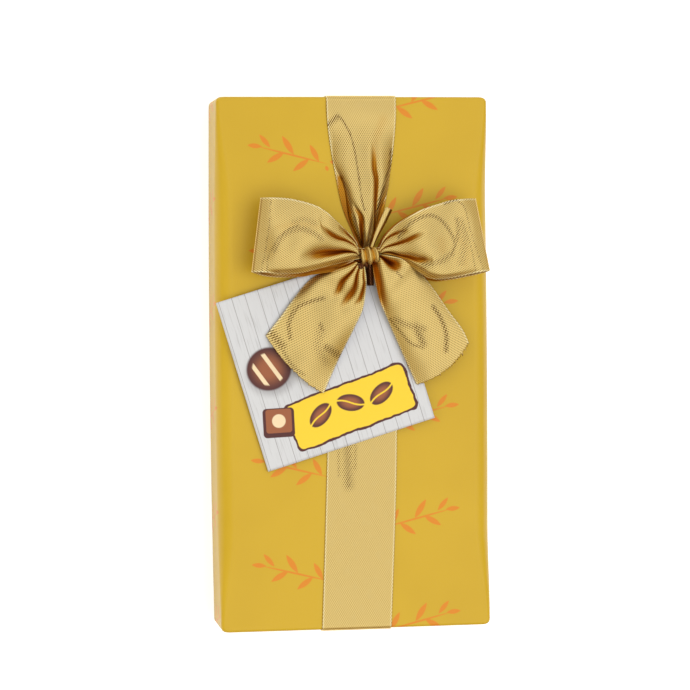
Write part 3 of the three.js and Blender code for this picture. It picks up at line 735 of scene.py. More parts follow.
def band_point(s, v):
    y, z, on_top, along = band_station(s)
    width = band_width(along)
    arch = band_crest(along) * (1 - np.abs(2 * v - 1) ** 2.6)
    above = fold_depth(BAND_FOLDS, (along - KNOT_Y) / (HALF_L - KNOT_Y), v, width)
    below = fold_depth(UNDER_FOLDS, (KNOT_Y - along) / 45.0, v, width)
    lower = np.clip(band_crest(along) / 1.6, 0, 1)
    deep, dark = (np.where(along > KNOT_Y, a, b) * lower for a, b in zip(above, below))
    x = band_centre(along) + (v - 0.5) * width
    waves = unevenness(x, y, 0.7) * lower * ease((along - 44) / 8)
    rise = np.maximum(arch - deep + waves, -0.12 + 0.12 * np.abs(2 * v - 1))
    # Painted shade from the folds and from the shade patches, on the lid only.
    dark = np.maximum(dark, marked(BAND_SHADES, x, y)) * on_top
    # Painted dark reflection dots, with a weak even level on the gathered part of the band.
    bend = painted_glint_dots(BAND_BENDS, x, y, BAND_DOT_LEVEL * ease((y - 40) / 12) * (1 - ease((y - 80) / 10)))
    return np.stack([x, y, z + np.where(on_top, rise, 0), dark, bend * on_top], -1)


def flat_strip(length, width, face_up=True):
    """The map of a strip that is width(s) wide as it lies; a strip that shows its other face is mirrored.
    What is hidden in folds is left out of it, so the weave keeps its scale on what shows."""
    return lambda s, v: np.stack([(v - 0.5) * width(s) * (1 if face_up else -1), s * length], -1)


band = shaped_grid(96, 460, band_point, flat_strip(band_length, lambda s: band_width(band_station(s)[3])))
ribbon_band = finish_piece("ribbon_wrap", band, RIBBON_GOLD, "lid", ["ribbon_band"])
thicken(ribbon_band, RIBBON)
print("band length in mm:", round(band_length))

# %% [markdown]
# ## Bow loops
# A loop is a strip that leaves the knot, swells, turns round its far end and comes back underneath. Its
# edges are drawn as seen from the front. The upper layer has its own lower edge, a little higher than
# the layer below. That edge curls down and the one below it cups up, and the inside that shows between
# is painted dark, as shade.

# %% Loops
TIE_X, TIE_Y = 5.2, 33.2
LOOP_LINE = ((-0.07, 7.8), (0, 8.4), (0.14, 10.0), (0.36, 12.2), (0.6, 13.4), (0.8, 13.2), (0.9, 12.5),
             (0.96, 11.7), (0.988, 11.2), (0.997, 10.7), (0.99, 10.0), (0.96, 8.4), (0.9, 6.5), (0.8, 5.0),
             (0.62, 4.0), (0.34, 3.7), (0.13, 3.9), (0, 4.3), (-0.07, 4.5))
STRETCH = 40.0
# In each loop the folds are painted with shade, the bends are lines of painted dark reflection dots, and
# the shades are patches of painted shade.
LOOPS = {
    "left": dict(
        near=-4.9, far_low=-43.1, far_high=-39.7,
        upper=((0, 7.6), (0.03, 10.4), (0.11, 13.3), (0.235, 17.1), (0.34, 20.3), (0.45, 22.6),
               (0.62, 24.4), (0.77, 25.3), (1, 25.7)),
        lower=((0, 3.9), (0.175, 2.5), (0.3, 1.4), (0.42, 0.2), (0.59, -1.0), (0.71, -1.2), (0.86, -0.6),
               (1, -0.1)),
        under=((0, 2.6), (0.157, 0.0), (0.22, -0.4), (0.43, -1.5), (0.55, -2.2), (0.71, -2.3), (0.85, -1.9),
               (1, -0.6)),
        curl=((0, 1.0), (0.15, 2.6), (0.4, 2.8), (0.65, 1.6), (0.9, 0.2), (1, 0)),
        cup=((0, 0.4), (0.15, 2.4), (0.45, 3.0), (0.75, 1.8), (0.95, 0.2), (1, 0)),
        folds=(
            (((0, 0.36), (0.115, 0.34), (0.24, 0.28), (0.35, 0.255), (0.45, 0.247), (0.65, 0.235)),
             (0.15, 2.9), 6.0, 0.64),
            (((0, 0.7), (0.12, 0.68), (0.22, 0.64), (0.31, 0.656), (0.38, 0.73), (0.41, 0.84), (0.5, 0.95)),
             (0.2, 1.4), 4.0, 0.46),
            (((0, 0.9), (0.1, 0.92), (0.3, 0.95)), (0.4, 0.9), 2.0, 0.22),
        ),
        bends=(
            (((-36.2, 24.7), (-37.0, 15.8), (-38.3, 7.2), (-39.9, -0.4)), 0.5, 0.42),
            (((-35.2, 9.7), (-37.4, 5.4), (-37.9, -0.3)), 0.5, 0.4),
            (((-35.3, 7.2), (-33.6, 10.9), (-30.3, 13.4), (-26.3, 14.6), (-22.2, 13.3), (-19.0, 11.1)),
             1.8, 0.38),
            (((-34.0, 11.2), (-30.5, 14.3), (-27.0, 15.6)), 0.7, 0.46),
            (((-28.6, 17.0), (-24.8, 17.8), (-21.0, 16.4)), 2.0, 0.3),
        ),
        shades=((((-33.7, 15.2), (-26.8, 16.3), (-20.4, 15.1)), 1.8, 0.16),),
    ),
    "right": dict(
        near=2.5, far_low=41.7, far_high=36.7,
        upper=((0, 7.8), (0.066, 12.1), (0.16, 15.5), (0.28, 18.4), (0.44, 21.2), (0.6, 23.0), (0.77, 24.4),
               (1, 25.0)),
        lower=((0, 4.6), (0.1, 4.0), (0.24, 2.2), (0.38, -1.6), (0.455, -3.2), (0.525, -3.6), (0.67, -2.8),
               (0.82, -1.7), (1, -0.3)),
        under=((0, 4.2), (0.1, 3.4), (0.24, 1.4), (0.38, -2.2), (0.455, -3.8), (0.525, -4.3), (0.67, -3.7),
               (0.82, -2.6), (1, -1.2)),
        curl=((0, 1.5), (0.2, 3.0), (0.4, 2.6), (0.6, 1.0), (0.9, 0.3), (1, 0)),
        cup=((0, 0.2), (0.2, 1.0), (0.5, 1.6), (0.8, 1.6), (0.95, 0.3), (1, 0)),
        folds=(
            (((0, 0.52), (0.12, 0.46), (0.24, 0.51), (0.335, 0.6), (0.42, 0.67), (0.5, 0.73)), (0.2, 1.3),
             4.6, 0.5),
            (((0, 0.26), (0.09, 0.21), (0.17, 0.15), (0.3, 0.175), (0.42, 0.25), (0.51, 0.27), (0.65, 0.3)),
             (0.2, 1.9), 5.6, 0.64),
            (((0, 0.86), (0.1, 0.8), (0.2, 0.75), (0.3, 0.74)), (0.3, 0.9), 2.6, 0.28),
        ),
        bends=(
            (((28.8, 24.4), (31.8, 22.1), (34.4, 13.0), (38.8, 0.0)), 0.5, 0.44),
            (((31.3, 16.5), (34.0, 8.9), (36.0, -0.4)), 0.5, 0.42),
            (((9.2, 11.3), (11.3, 14.6), (15.1, 17.6), (20.2, 18.9), (24.0, 16.8), (26.8, 13.0),
              (28.5, 9.0), (27.1, 5.2)), 1.2, 0.42),
            (((27.1, 5.2), (22.6, 2.6), (17.5, 1.6)), 2.0, 0.36),
            (((29.3, 17.6), (29.8, 13.6), (29.1, 10.1)), 1.4, 0.4),
            (((24.9, 22.9), (28.8, 24.4)), 0.8, 0.44),
            (((30.7, 16.6), (32.1, 10.2), (30.6, 2.5)), 2.8, 0.32),
        ),
        shades=(
            (((23.5, 10.2), (24.0, 6.7)), 3.0, 0.17),
            (((29.7, 10.7), (33.2, 6.6), (32.0, 1.9)), 2.6, 0.15),
        ),
    ),
}


def hang_on_knot(kind, side, grid):
    """A strip of ribbon as a piece of the bow, gathered and held by the knot."""
    piece = finish_piece(f"{kind}_{side}", grid, RIBBON_GOLD, "bow", [f"bow_{kind}_{side}"])
    thicken(piece, RIBBON)


def make_loop(side, form):
    line = smooth([(reach * STRETCH, z) for reach, z in LOOP_LINE])
    length, at = walk(line)
    upper, lower, under, curl, cup = (value_through(form[e]) for e in ("upper", "lower", "under", "curl",
                                                                       "cup"))

    def edges(s):
        reach = at(s)[:, 0] / STRETCH
        back = ease((s - 0.42) / 0.16)
        return reach, back, mix(lower(reach), under(reach), back), upper(reach) - 0.6 * back * reach

    def breadth_at(s):
        _, _, low, high = edges(s)
        return high - low

    def point(s, v):
        z = at(s)[:, 1]
        reach, back, low, high = edges(s)
        breadth = high - low
        deep, dark = (part * (1 - back) for part in fold_depth(form["folds"], reach, v, breadth))
        # Painted shade on the layer underneath, darkest near the knot.
        inside = back * np.clip(1.0 - 1.1 * reach, 0.2, 1)
        deep = deep + curl(reach) * np.exp(-((v * breadth / 1.1) ** 2)) * (1 - back)
        tuck = 0.3 * back * (1 - ease(reach / 0.6)) * np.cos(3 * math.pi * (v - 0.5))
        lift = cup(reach) * np.exp(-((v * breadth / 1.6) ** 2)) * back
        swell = ease(reach / 0.5) * (1 - ease((reach - 0.6) / 0.36))
        crown = 1.2 * np.sin(math.pi * v) * swell * (1 - back)
        x = mix(form["near"], mix(form["far_low"], form["far_high"], v), reach)
        y = mix(low, high, v)
        calm = ease(reach / 0.35) * (1 - ease((reach - 0.8) / 0.15)) * (1 - back)
        z = z - deep - tuck + lift + crown + calm * unevenness(x, y, form["near"])
        # Painted shade from the folds, from the shade patches and on the layer underneath.
        dark = np.maximum(dark, marked(form["shades"], x, y) * (1 - back))
        # Painted dark reflection dots on the upper layer.
        bend = painted_glint_dots(form["bends"], x, y, BOW_DOT_LEVEL) * (1 - back)
        return np.stack([TIE_X + x, TIE_Y + y, HEIGHT + z, np.maximum(dark, inside), bend], -1)

    grid = shaped_grid(130, 300, point, flat_strip(length, breadth_at, face_up=False))
    hang_on_knot("loop", side, grid)
    return length


for side, form in LOOPS.items():
    print("loop", side, "length in mm:", round(make_loop(side, form)))

# %% [markdown]
# ## Bow tails
# The two tails leave the knot below the loops and end in slanting cuts. They are gathered at the knot
# and open out into a shallow dome, so that their edges turn down. The cut bows outwards and is frayed.

# %% Tails
# In each tail the folds are painted with shade, the bends are lines of painted dark reflection dots, and
# the last number is their weak even level.
TAILS = {
    "left": dict(
        first=((-6.4, 3.4), (-13.4, 0.5), (-20.8, -2.8), (-27.2, -9.7), (-32.5, -16.7), (-37.3, -22.7)),
        second=((-2.6, 1.2), (-2.1, -3.5), (-2.3, -8), (-3.2, -14.1), (-6.1, -20.5), (-9.7, -27.5),
                (-12.7, -33.9), (-16.9, -43.4)),
        height=((0, 7.4), (0.1, 7.8), (0.22, 7.4), (0.45, 6.4), (0.7, 5.7), (1, 5.4)),
        dome=2.5, fray=0.22,
        folds=(
            (((0, 0.4), (0.09, 0.4), (0.22, 0.38), (0.34, 0.45), (0.42, 0.45), (0.55, 0.46)), (0.2, 1.5),
             5.0, 0.46),
            (((0, 0.62), (0.08, 0.6), (0.21, 0.69), (0.34, 0.66), (0.46, 0.65), (0.6, 0.64)), (0.2, 1.7),
             4.4, 0.5),
            (((0, 0.86), (0.1, 0.88), (0.13, 0.92), (0.26, 0.89), (0.33, 0.84), (0.45, 0.82)), (0.2, 1.0),
             3.6, 0.4),
            (((0, 0.12), (0.2, 0.0), (0.6, -0.04)), (0.5, 2.6), 3.4, 0.74),
        ),
        bends=(
            (((-28.9, -23.7), (-29.1, -17.8), (-26.1, -12.9), (-21.4, -10.8), (-17.3, -9.8)), 1.3, 0.44),
            (((-35.3, -21.9), (-31.8, -26.3)), 2.6, 0.43),
            (((-16.2, -27.1), (-11.5, -30.1)), 2.3, 0.43),
            (((-18.3, -19.1), (-17.8, -20.9)), 1.4, 0.42),
            (((-32.1, -26.6), (-28.6, -33.0), (-24.5, -36.5)), 1.3, 0.38),
            (((-18.5, -21.6), (-19.0, -27.5), (-16.2, -31.8)), 3.4, 0.3),
            (((-9.6, -32.3), (-11.4, -38.7)), 2.2, 0.3),
        ),
        face_up=True, painted_glint_dots=0.13,
    ),
    "right": dict(
        first=((0.2, 2.6), (0.4, -1.2), (1.4, -5.8), (2.9, -11), (6.1, -18), (9.5, -25.6), (12.8, -33),
               (16.5, -40.8)),
        second=((2.4, 5.6), (11.7, 3.3), (17.7, -1.4), (22.7, -7.3), (28.3, -15), (33.2, -21.6),
                (35.4, -26.3)),
        height=((0, 8.4), (0.1, 9.8), (0.2, 9.6), (0.35, 8.2), (0.6, 6.4), (0.8, 5.8), (1, 5.6)),
        dome=2.3, fray=0.4,
        folds=(
            (((0, 0.85), (0.03, 0.82), (0.1, 0.75), (0.17, 0.74), (0.3, 0.74)), (0.3, 2.5), 5.8, 0.26),
            (((0, 0.22), (0.1, 0.14), (0.25, 0.06), (0.5, 0.0)), (1.4, 2.8), 2.8, 0.48),
        ),
        bends=(
            (((22.2, -13.2), (24.9, -17.3), (26.8, -22.7), (26.7, -28.8)), 1.3, 0.48),
            (((6.8, -17.4), (9.9, -21.3), (14.0, -26.0), (18.2, -27.7)), 0.9, 0.42),
            (((8.5, -17.6), (13.0, -19.6), (18.5, -21.0)), 1.9, 0.37),
            (((15.7, -20.2), (18.1, -26.1)), 2.0, 0.42),
            (((8.7, -1.0), (10.2, -2.5)), 0.8, 0.42),
        ),
        face_up=False, painted_glint_dots=0.11,
    ),
}
FRAY_THREADS = 160
CUT_BOW = 8.4
random = np.random.default_rng(4)


def make_tail(side, form):
    first_length, first = walk(smooth(form["first"]))
    second_length, second = walk(smooth(form["second"]))
    height = value_through(form["height"])
    length = (first_length + second_length) / 2
    threads = np.linspace(0, 1, FRAY_THREADS)
    loose = random.normal(0, form["fray"], threads.size) * (0.5 + threads)

    def breadth_at(s):
        return np.linalg.norm(second(s) - first(s), axis=-1)

    def point(s, v):
        a, b = first(s), second(s)
        breadth = breadth_at(s)
        deep, dark = fold_depth(form["folds"], s, v, breadth)
        dome = -form["dome"] * (2 * v - 1) ** 2 * ease((s - 0.1) / 0.4)
        wave = 0.35 * np.sin(3.2 * math.pi * s + 2.8 * v) * ease(s / 0.5)
        ahead = mix(first(s) - first(s - 0.04), second(s) - second(s - 0.04), 0.5)
        ahead = ahead / np.linalg.norm(ahead + 1e-9, axis=-1, keepdims=True)
        beyond = CUT_BOW * v * (1 - v) * ease((s - 0.5) / 0.5)
        beyond = beyond + np.where(s > 0.999, np.interp(v, threads, loose), 0)
        x, y = (a + (b - a) * v[:, None] + ahead * beyond[:, None]).T
        wave = wave + unevenness(x, y, form["dome"]) * ease((s - 0.1) / 0.3) * (1 - 0.5 * (2 * v - 1) ** 4)
        # Painted dark reflection dots.
        bend = painted_glint_dots(form["bends"], x, y, form["painted_glint_dots"])
        return np.stack([TIE_X + x, TIE_Y + y, HEIGHT + height(s) - deep + dome + wave, dark, bend], -1)

    grid = shaped_grid(140, 200, point, flat_strip(length, breadth_at, form["face_up"]))
    hang_on_knot("tail", side, grid)
    return length


for side, form in TAILS.items():
    print("tail", side, "length in mm:", round(make_tail(side, form)))

# %% [markdown]
# ## Knot and tie
# The knot is the ribbon squeezed to a few pleats and wound once round the waist of the bow. A ring of
# grid closes on itself round the X axis; its cross lines carry the pleats. A smaller ring of the same
# kind, turned askew, is the wrap of the tie. The tie goes down through the hole of the tag, and its two
# narrow ends stick out above and below.


# %% Knot
def wound_ring(name, at, half, pleats, depth, skew, material, nodes=()):
    """A closed ring of ribbon round the X axis, with pleats along it, turned by skew about Z."""
    cos, sin = math.cos(skew), math.sin(skew)

    def point(s, v):
        turn = 2 * math.pi * s
        across = 2 * v - 1
        wave = np.cos(2 * math.pi * pleats * (v + 0.06 * np.cos(turn)) - 0.6)
        pleat = depth * wave
        pinch = 1 - 0.22 * np.abs(across) ** 3
        x = across * half[0] * (1 - 0.12 * np.abs(np.cos(turn))) + 0.25 * np.sin(turn)
        y = (half[1] * pinch + pleat) * np.sign(np.cos(turn)) * np.abs(np.cos(turn)) ** 0.75
        z = (half[2] * pinch + pleat) * np.sign(np.sin(turn)) * np.abs(np.sin(turn)) ** 0.6
        # Painted shade in the gaps between the pleats.
        dark = 0.6 * (0.5 - 0.5 * wave) ** 8
        return np.stack([at[0] + x * cos - y * sin, at[1] + x * sin + y * cos, at[2] + z, dark], -1)

    ring = shaped_grid(60, 96, point, flat_strip(2 * math.pi * half[2], lambda s: 2 * half[0]))
    bmesh.ops.remove_doubles(ring, verts=ring.verts, dist=1e-6)
    bmesh.ops.recalc_face_normals(ring, faces=ring.faces)
    thicken(finish_piece(name, ring, material, "bow", nodes), RIBBON, -1.0)


wound_ring("knot", (4.0, KNOT_Y, 32.5), (3.2, 2.9, 3.3), 2.2, 0.5, 0.05, RIBBON_GOLD,
           ["bow_knot"])
wound_ring("tie_wrap", (2.4, 35.3, 31.9), (2.6, 1.5, 2.0), 2, 0.25, 0.5, TIE_PAINTED_SHADE)

# %% Tie
TIE_RADIUS = 1.1
TIE_LOW = 28.1
TIE_HIGH = 31.0
TIE_THICK = 0.2
UP_LINE = ((5.2, 41.0, 33.4), (6.9, 45.4, 34.0), (9.2, 50.2, 34.3), (11.5, 54.8, 34.2))
DOWN_LINE = ((4.6, 36.0, 32.2), (4.8, 33.2, 32.0), (5.0, 30.4, 31.2), (5.1, 27.7, 30.6))


def tie_end(name, points, widths, crease, material, node):
    """A narrow strip along a line that widens to its cut end, folded down along its right side."""
    length, at = walk(smooth(points))

    def point(s, v):
        here = at(s)
        ahead = at(np.minimum(s + 0.02, 1)) - at(np.maximum(s - 0.02, 0))
        side = np.stack([ahead[:, 1], -ahead[:, 0], np.zeros_like(s)], -1)
        side = side / np.linalg.norm(side, axis=-1, keepdims=True)
        wide = mix(*widths, ease(s / 0.8))
        turned = ease((v - 0.5) / 0.5)
        lift = crease * (0.35 * v - turned)
        spot = here + side * ((v - 0.5) * wide)[:, None] + np.stack([0 * s, 0 * s, lift], -1)
        # The side that is turned down is painted with shade through the attribute fold.
        return np.concatenate([spot, 0.8 * turned[:, None]], -1)

    grid = shaped_grid(12, 40, point, flat_strip(length, lambda s: widths[1]))
    thicken(finish_piece(name, grid, material, "bow", [node]), TIE_THICK)


tie_end("tie_tip_up", UP_LINE, (1.2, 2.5), 1.3, RIBBON_GOLD, "tie_end_up")
tie_end("tie_tip_down", DOWN_LINE, (2.6, 2.3), 1.0, TIE_PAINTED_SHADE, "tie_end_down")

post = bmesh.new()
bmesh.ops.create_cone(post, cap_ends=True, segments=32, radius1=TIE_RADIUS * MM, radius2=TIE_RADIUS * MM,
                      depth=(TIE_HIGH - TIE_LOW) * MM)
bmesh.ops.translate(post, verts=post.verts, vec=Vector((TIE_X, TIE_Y, (TIE_LOW + TIE_HIGH) / 2)) * MM)
rims = [e for e in post.edges if len({round(v.co.z, 6) for v in e.verts}) == 1]
bmesh.ops.bevel(post, geom=rims, offset=0.3 * MM, affect="EDGES", segments=3, profile=0.5, material=-1)


def round_post(vert):
    """A point of the post's skin, unrolled."""
    x, y, z = vert.co / MM
    return math.atan2(y - TIE_Y, x - TIE_X) * TIE_RADIUS, z


map_flat(post, round_post)
finish_piece("tie_post", post, TIE_PAINTED_SHADE, "bow")

# %% [markdown]
# ## Hang tag
# The tag is a square of printed card that hangs on the tie by a punched hole near its corner. Its print
# is white planks with a yellow panel, three cocoa beans and two pralines. The picture is drawn from
# masks on the flat map; the card itself is a grid with a hole, bent a little.

# %% Card print
PLANK = 4.8
PLANK_SHIFT = 1.6
PRINT_BLUR = 0.12


def disc(tree, vector, x, y, turn, wide, high, soft=0.06):
    """A soft-edged ellipse as a mask, the distance from its middle in shares of its radius, and the place
    in it."""
    inside = seen_from(tree, vector, x, y, turn, (wide, high, 1))
    far = vector_calc(tree, "LENGTH", inside)
    return soft_step(tree, calc(tree, "SUBTRACT", 1.0, far), -soft, soft), far, inside


def panel(tree, vector, x, y, turn, wide, high, corner):
    """A rounded rectangle as a mask, with half sizes in millimetres."""
    sides = vector_calc(tree, "ABSOLUTE", seen_from(tree, vector, x, y, turn))
    past = vector_calc(tree, "SUBTRACT", sides, (wide - corner, high - corner, 0))
    far = vector_calc(tree, "LENGTH", vector_calc(tree, "MAXIMUM", past, (0, 0, 0)))
    return soft_step(tree, calc(tree, "SUBTRACT", corner, far), -PRINT_BLUR, PRINT_BLUR)


CARD_WHITE = srgb(206, 208, 214)
CARD_GREY = srgb(184, 185, 190)
PANEL_YELLOW = srgb(240, 204, 34)
PRINT_BROWN = srgb(74, 22, 18)
PRINT_MILK = srgb(150, 84, 44)
PRINT_CREAM = srgb(236, 214, 176)

TAG_CARD, tree, shader = new_material("tag_card", Roughness=0.42, Coat_Weight=0.2, Coat_Roughness=0.25)
flat = flat_map(tree)
parts = put(tree, "ShaderNodeSeparateXYZ", {"Vector": flat}).outputs
on_planks = calc(tree, "ADD", parts["X"], PLANK_SHIFT)
slip = calc(tree, "FLOORED_MODULO", on_planks, PLANK)
joint = calc(tree, "SUBTRACT", 1.0, soft_step(tree, slip, 0.14, 0.34))
plank_number = calc(tree, "FLOOR", calc(tree, "DIVIDE", on_planks, PLANK))
along_grain = calc(tree, "MULTIPLY_ADD", plank_number, 17.0, calc(tree, "MULTIPLY", parts["Y"], 0.09))
grain_at = put(tree, "ShaderNodeCombineXYZ", {"X": calc(tree, "MULTIPLY", parts["X"], 1.4),
                                              "Y": along_grain})
grain = put(tree, "ShaderNodeTexNoise", {"Vector": grain_at.outputs["Vector"], "Scale": 1.2,
                                         "Detail": 5.0})
wood = blend_colour(tree, soft_step(tree, grain.outputs["Fac"], 0.5, 0.8), CARD_WHITE, CARD_GREY)
wood = blend_colour(tree, calc(tree, "MULTIPLY", joint, 0.6), wood, srgb(120, 114, 118))

wobble = put(tree, "ShaderNodeTexNoise", {"Vector": flat, "Scale": 0.22, "Detail": 2.0})
ragged = vector_calc(tree, "MULTIPLY_ADD", wobble.outputs["Color"], (1.6, 1.6, 0), flat)
frame_mask = panel(tree, ragged, 4.5, -17.5, 3, 23.0, 9.0, 2.4)
face_mask = panel(tree, ragged, 4.5, -17.5, 3, 22.2, 8.2, 2.0)
art = blend_colour(tree, frame_mask, wood, PRINT_BROWN)
art = blend_colour(tree, face_mask, art, PANEL_YELLOW)
for x, y, turn in ((-7.5, -17.8, 34), (4.0, -16.8, -22), (15.5, -17.0, 28)):
    bean, far, inside = disc(tree, flat, x, y, turn, 5.0, 3.0)
    bend = put(tree, "ShaderNodeSeparateXYZ", {"Vector": inside}).outputs
    swing = calc(tree, "SINE", calc(tree, "MULTIPLY", bend["X"], 2.6))
    off_seam = calc(tree, "ABSOLUTE", calc(tree, "MULTIPLY_ADD", swing, 0.16, bend["Y"]))
    seam = calc(tree, "SUBTRACT", 1.0, soft_step(tree, off_seam, 0.05, 0.14))
    shade = blend_colour(tree, soft_step(tree, far, 0.3, 1.0), PRINT_MILK, PRINT_BROWN)
    art = blend_colour(tree, bean, art, blend_colour(tree, seam, shade, PANEL_YELLOW))

shadow, _, _ = disc(tree, flat, -19.6, 2.2, 0, 8.8, 8.2, 0.25)
art = blend_colour(tree, calc(tree, "MULTIPLY", shadow, 0.45), art, srgb(90, 80, 84))
ball, far, inside = disc(tree, flat, -20.2, 3.4, 0, 8.0, 7.6)
shade = blend_colour(tree, soft_step(tree, far, 0.25, 1.0), PRINT_MILK, PRINT_BROWN)
bend = put(tree, "ShaderNodeSeparateXYZ", {"Vector": inside}).outputs
slanting = calc(tree, "MULTIPLY_ADD", bend["X"], 9.0, calc(tree, "MULTIPLY", bend["Y"], 3.0))
ripple = soft_step(tree, calc(tree, "SINE", slanting), 0.55, 0.75)
within = soft_step(tree, calc(tree, "SUBTRACT", 0.8, far), 0.0, 0.1)
drizzle = calc(tree, "MULTIPLY", ripple, within)
art = blend_colour(tree, ball, art, blend_colour(tree, drizzle, shade, PRINT_CREAM))

edge = panel(tree, flat, -22.5, -15.8, -14, 5.6, 5.2, 1.4)
top = panel(tree, flat, -22.3, -15.2, -14, 4.6, 4.2, 1.0)
art = blend_colour(tree, edge, art, PRINT_BROWN)
art = blend_colour(tree, top, art, PRINT_MILK)
ring, _, _ = disc(tree, flat, -22.3, -15.2, 0, 2.4, 2.4, 0.08)
art = blend_colour(tree, ring, art, PRINT_CREAM)
feed(tree, shader, Base_Color=art)
raise_bumps(tree, shader, use_group(tree, fibre, Vector=flat, Scale=1.4)["Height"], 0.15, PAPER_TOOTH)
print("card material made")

# %% Card
TAG = 62.4
TAG_THICK = 0.36
TAG_TURN = math.radians(16.8)
HOLE_U, HOLE_V = 24.4, 26.0
HOLE_RADIUS = 2.0
TAG_Z = 28.2
TAG_FALL = 0.018
TAG_CURL = 0.35


def on_tag(u, v):
    """A point of the card, by its place from the card's middle."""
    from_hole = (u - HOLE_U, v - HOLE_V)
    x = TIE_X + from_hole[0] * math.cos(TAG_TURN) - from_hole[1] * math.sin(TAG_TURN)
    y = TIE_Y + from_hole[0] * math.sin(TAG_TURN) + from_hole[1] * math.cos(TAG_TURN)
    fall = TAG_FALL * (from_hole[0] + from_hole[1]) / math.sqrt(2)
    curl = TAG_CURL * ((u - v) / TAG) ** 2
    return Vector((x, y, TAG_Z + TAG_THICK / 2 + fall + curl))


tag = bmesh.new()
bmesh.ops.create_grid(tag, x_segments=62, y_segments=62, size=TAG / 2)
hole_at = Vector((HOLE_U, HOLE_V, 0))
gone = [f for f in tag.faces if (f.calc_center_median() - hole_at).length < HOLE_RADIUS]
bmesh.ops.delete(tag, geom=gone, context="FACES")
for vert in tag.verts:
    away = vert.co - hole_at
    if vert.is_boundary and away.length < 2 * HOLE_RADIUS:
        vert.co = hole_at + away.normalized() * HOLE_RADIUS
map_flat(tag, lambda vert: vert.co.xy)
for vert in tag.verts:
    vert.co = on_tag(vert.co.x, vert.co.y) * MM
card = finish_piece("card", tag, TAG_CARD, "tag", ["hang_tag"])
thicken(card, TAG_THICK)

# %% [markdown]
# ## Boards
# Under the paper the lid is stiff grey board, and the base is a white board tray. Their shapes are right
# in the frame already, so they stay and only get a finish: a fine fibre and a slightly uneven tone.


# %% Boards
def board_material(name, pale, dull):
    material, tree, shader = new_material(name, Roughness=0.8)
    place = own_place(tree)
    tooth = use_group(tree, fibre, Vector=place, Scale=900.0)["Height"]
    patch = use_group(tree, fibre, Vector=place, Scale=60.0)["Height"]
    both = calc(tree, "MULTIPLY_ADD", tooth, 0.5, calc(tree, "MULTIPLY", patch, 0.5))
    feed(tree, shader, Base_Color=blend_colour(tree, soft_step(tree, both, 0.4, 0.65), dull, pale))
    raise_bumps(tree, shader, tooth, 0.3, 0.0001)
    return material


BASE_WHITE = board_material("base_white", (0.84, 0.82, 0.77), (0.76, 0.73, 0.67))
LID_GREY = board_material("lid_grey", (0.58, 0.54, 0.47), (0.46, 0.42, 0.36))
for node, material in (("base_board", BASE_WHITE), ("lid_board", LID_GREY)):
    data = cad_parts[node].data
    data.materials.clear()
    data.materials.append(material)
print("boards finished")

# %% [markdown]
# ## Insert
# The pralines sit in a thin formed plastic tray. Its deck is a sheet with eight square holes, each hole
# drawn down into a pocket with a rounded lip and foot. Filling the flat deck between the outline and the
# rings, and extruding each ring downwards, gives one clean skin.

# %% Insert
DECK_Z = 18.2
POCKET_FLOOR = 2.6
MOUTH_HALF = 19.0
FOOT_HALF = 17.2
SQUARENESS = 4.0
SKIN = 0.45
tray_low, tray_high = (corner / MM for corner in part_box("insert_tray"))
PITCH_X = (tray_high.x - tray_low.x - 3) / 2
PITCH_Y = (tray_high.y - tray_low.y - 4) / 4
POCKETS = [((c - 0.5) * PITCH_X, (1.5 - r) * PITCH_Y) for r in range(4) for c in range(2)]

INSERT_BROWN, tree, shader = new_material("insert_brown", Coat_Weight=0.5, Coat_Roughness=0.12,
                                          Metallic=0.35)
place = own_place(tree)
mottle = use_group(tree, fibre, Vector=place, Scale=120.0)["Height"]
brown = blend_colour(tree, mottle, (0.16, 0.075, 0.03), (0.3, 0.16, 0.07))
feed(tree, shader, Base_Color=brown, Roughness=calc(tree, "MULTIPLY_ADD", mottle, 0.2, 0.22))


def squircle(angle, half_x, half_y, power):
    """A point on a rounded square outline; power 2 is an ellipse."""
    c, s = math.cos(angle), math.sin(angle)
    x, y = (math.copysign(abs(share) ** (2 / power), share) for share in (c, s))
    return half_x * x, half_y * y


def ring_at(mesh, middle, half_x, half_y, z, power, count):
    """A closed ring of edges on a rounded square outline."""
    made = bmesh.ops.create_circle(mesh, cap_ends=False, segments=count, radius=1.0)["verts"]
    for number, vert in enumerate(made):
        x, y = squircle(2 * math.pi * (number + 0.5) / count, half_x, half_y, power)
        vert.co = Vector((middle[0] + x, middle[1] + y, z)) * MM
    return list({e for v in made for e in v.link_edges})


POCKET_PROFILE = (
    (MOUTH_HALF - 0.35, DECK_Z - 0.1), (MOUTH_HALF - 0.62, DECK_Z - 0.45),
    (MOUTH_HALF - 0.75, DECK_Z - 1.2),
    (FOOT_HALF + 0.9, 10.0), (FOOT_HALF + 0.1, POCKET_FLOOR + 1.8), (FOOT_HALF - 0.3, POCKET_FLOOR + 0.8),
    (FOOT_HALF - 1.0, POCKET_FLOOR + 0.2), (FOOT_HALF - 2.0, POCKET_FLOOR),
)
tray = bmesh.new()
outline = ring_at(tray, (0, 0), tray_high.x, tray_high.y, DECK_Z, 40.0, 96)
mouths = [ring_at(tray, at, MOUTH_HALF, MOUTH_HALF, DECK_Z, SQUARENESS, 72) for at in POCKETS]
bmesh.ops.triangle_fill(tray, edges=outline + [e for ring in mouths for e in ring], use_beauty=True)
for at, ring in zip(POCKETS, mouths):
    half = MOUTH_HALF
    for wider, z in POCKET_PROFILE:
        ring, moved = grow(tray, ring)
        for vert in moved:
            from_middle = (vert.co.xy / MM - Vector(at)) * (wider / half)
            vert.co = Vector((at[0] + from_middle.x, at[1] + from_middle.y, z)) * MM
        half = wider
    bmesh.ops.contextual_create(tray, geom=ring)
for z in (DECK_Z - 0.5, tray_low.z):
    outline, moved = grow(tray, outline)
    for vert in moved:
        vert.co.z = z * MM
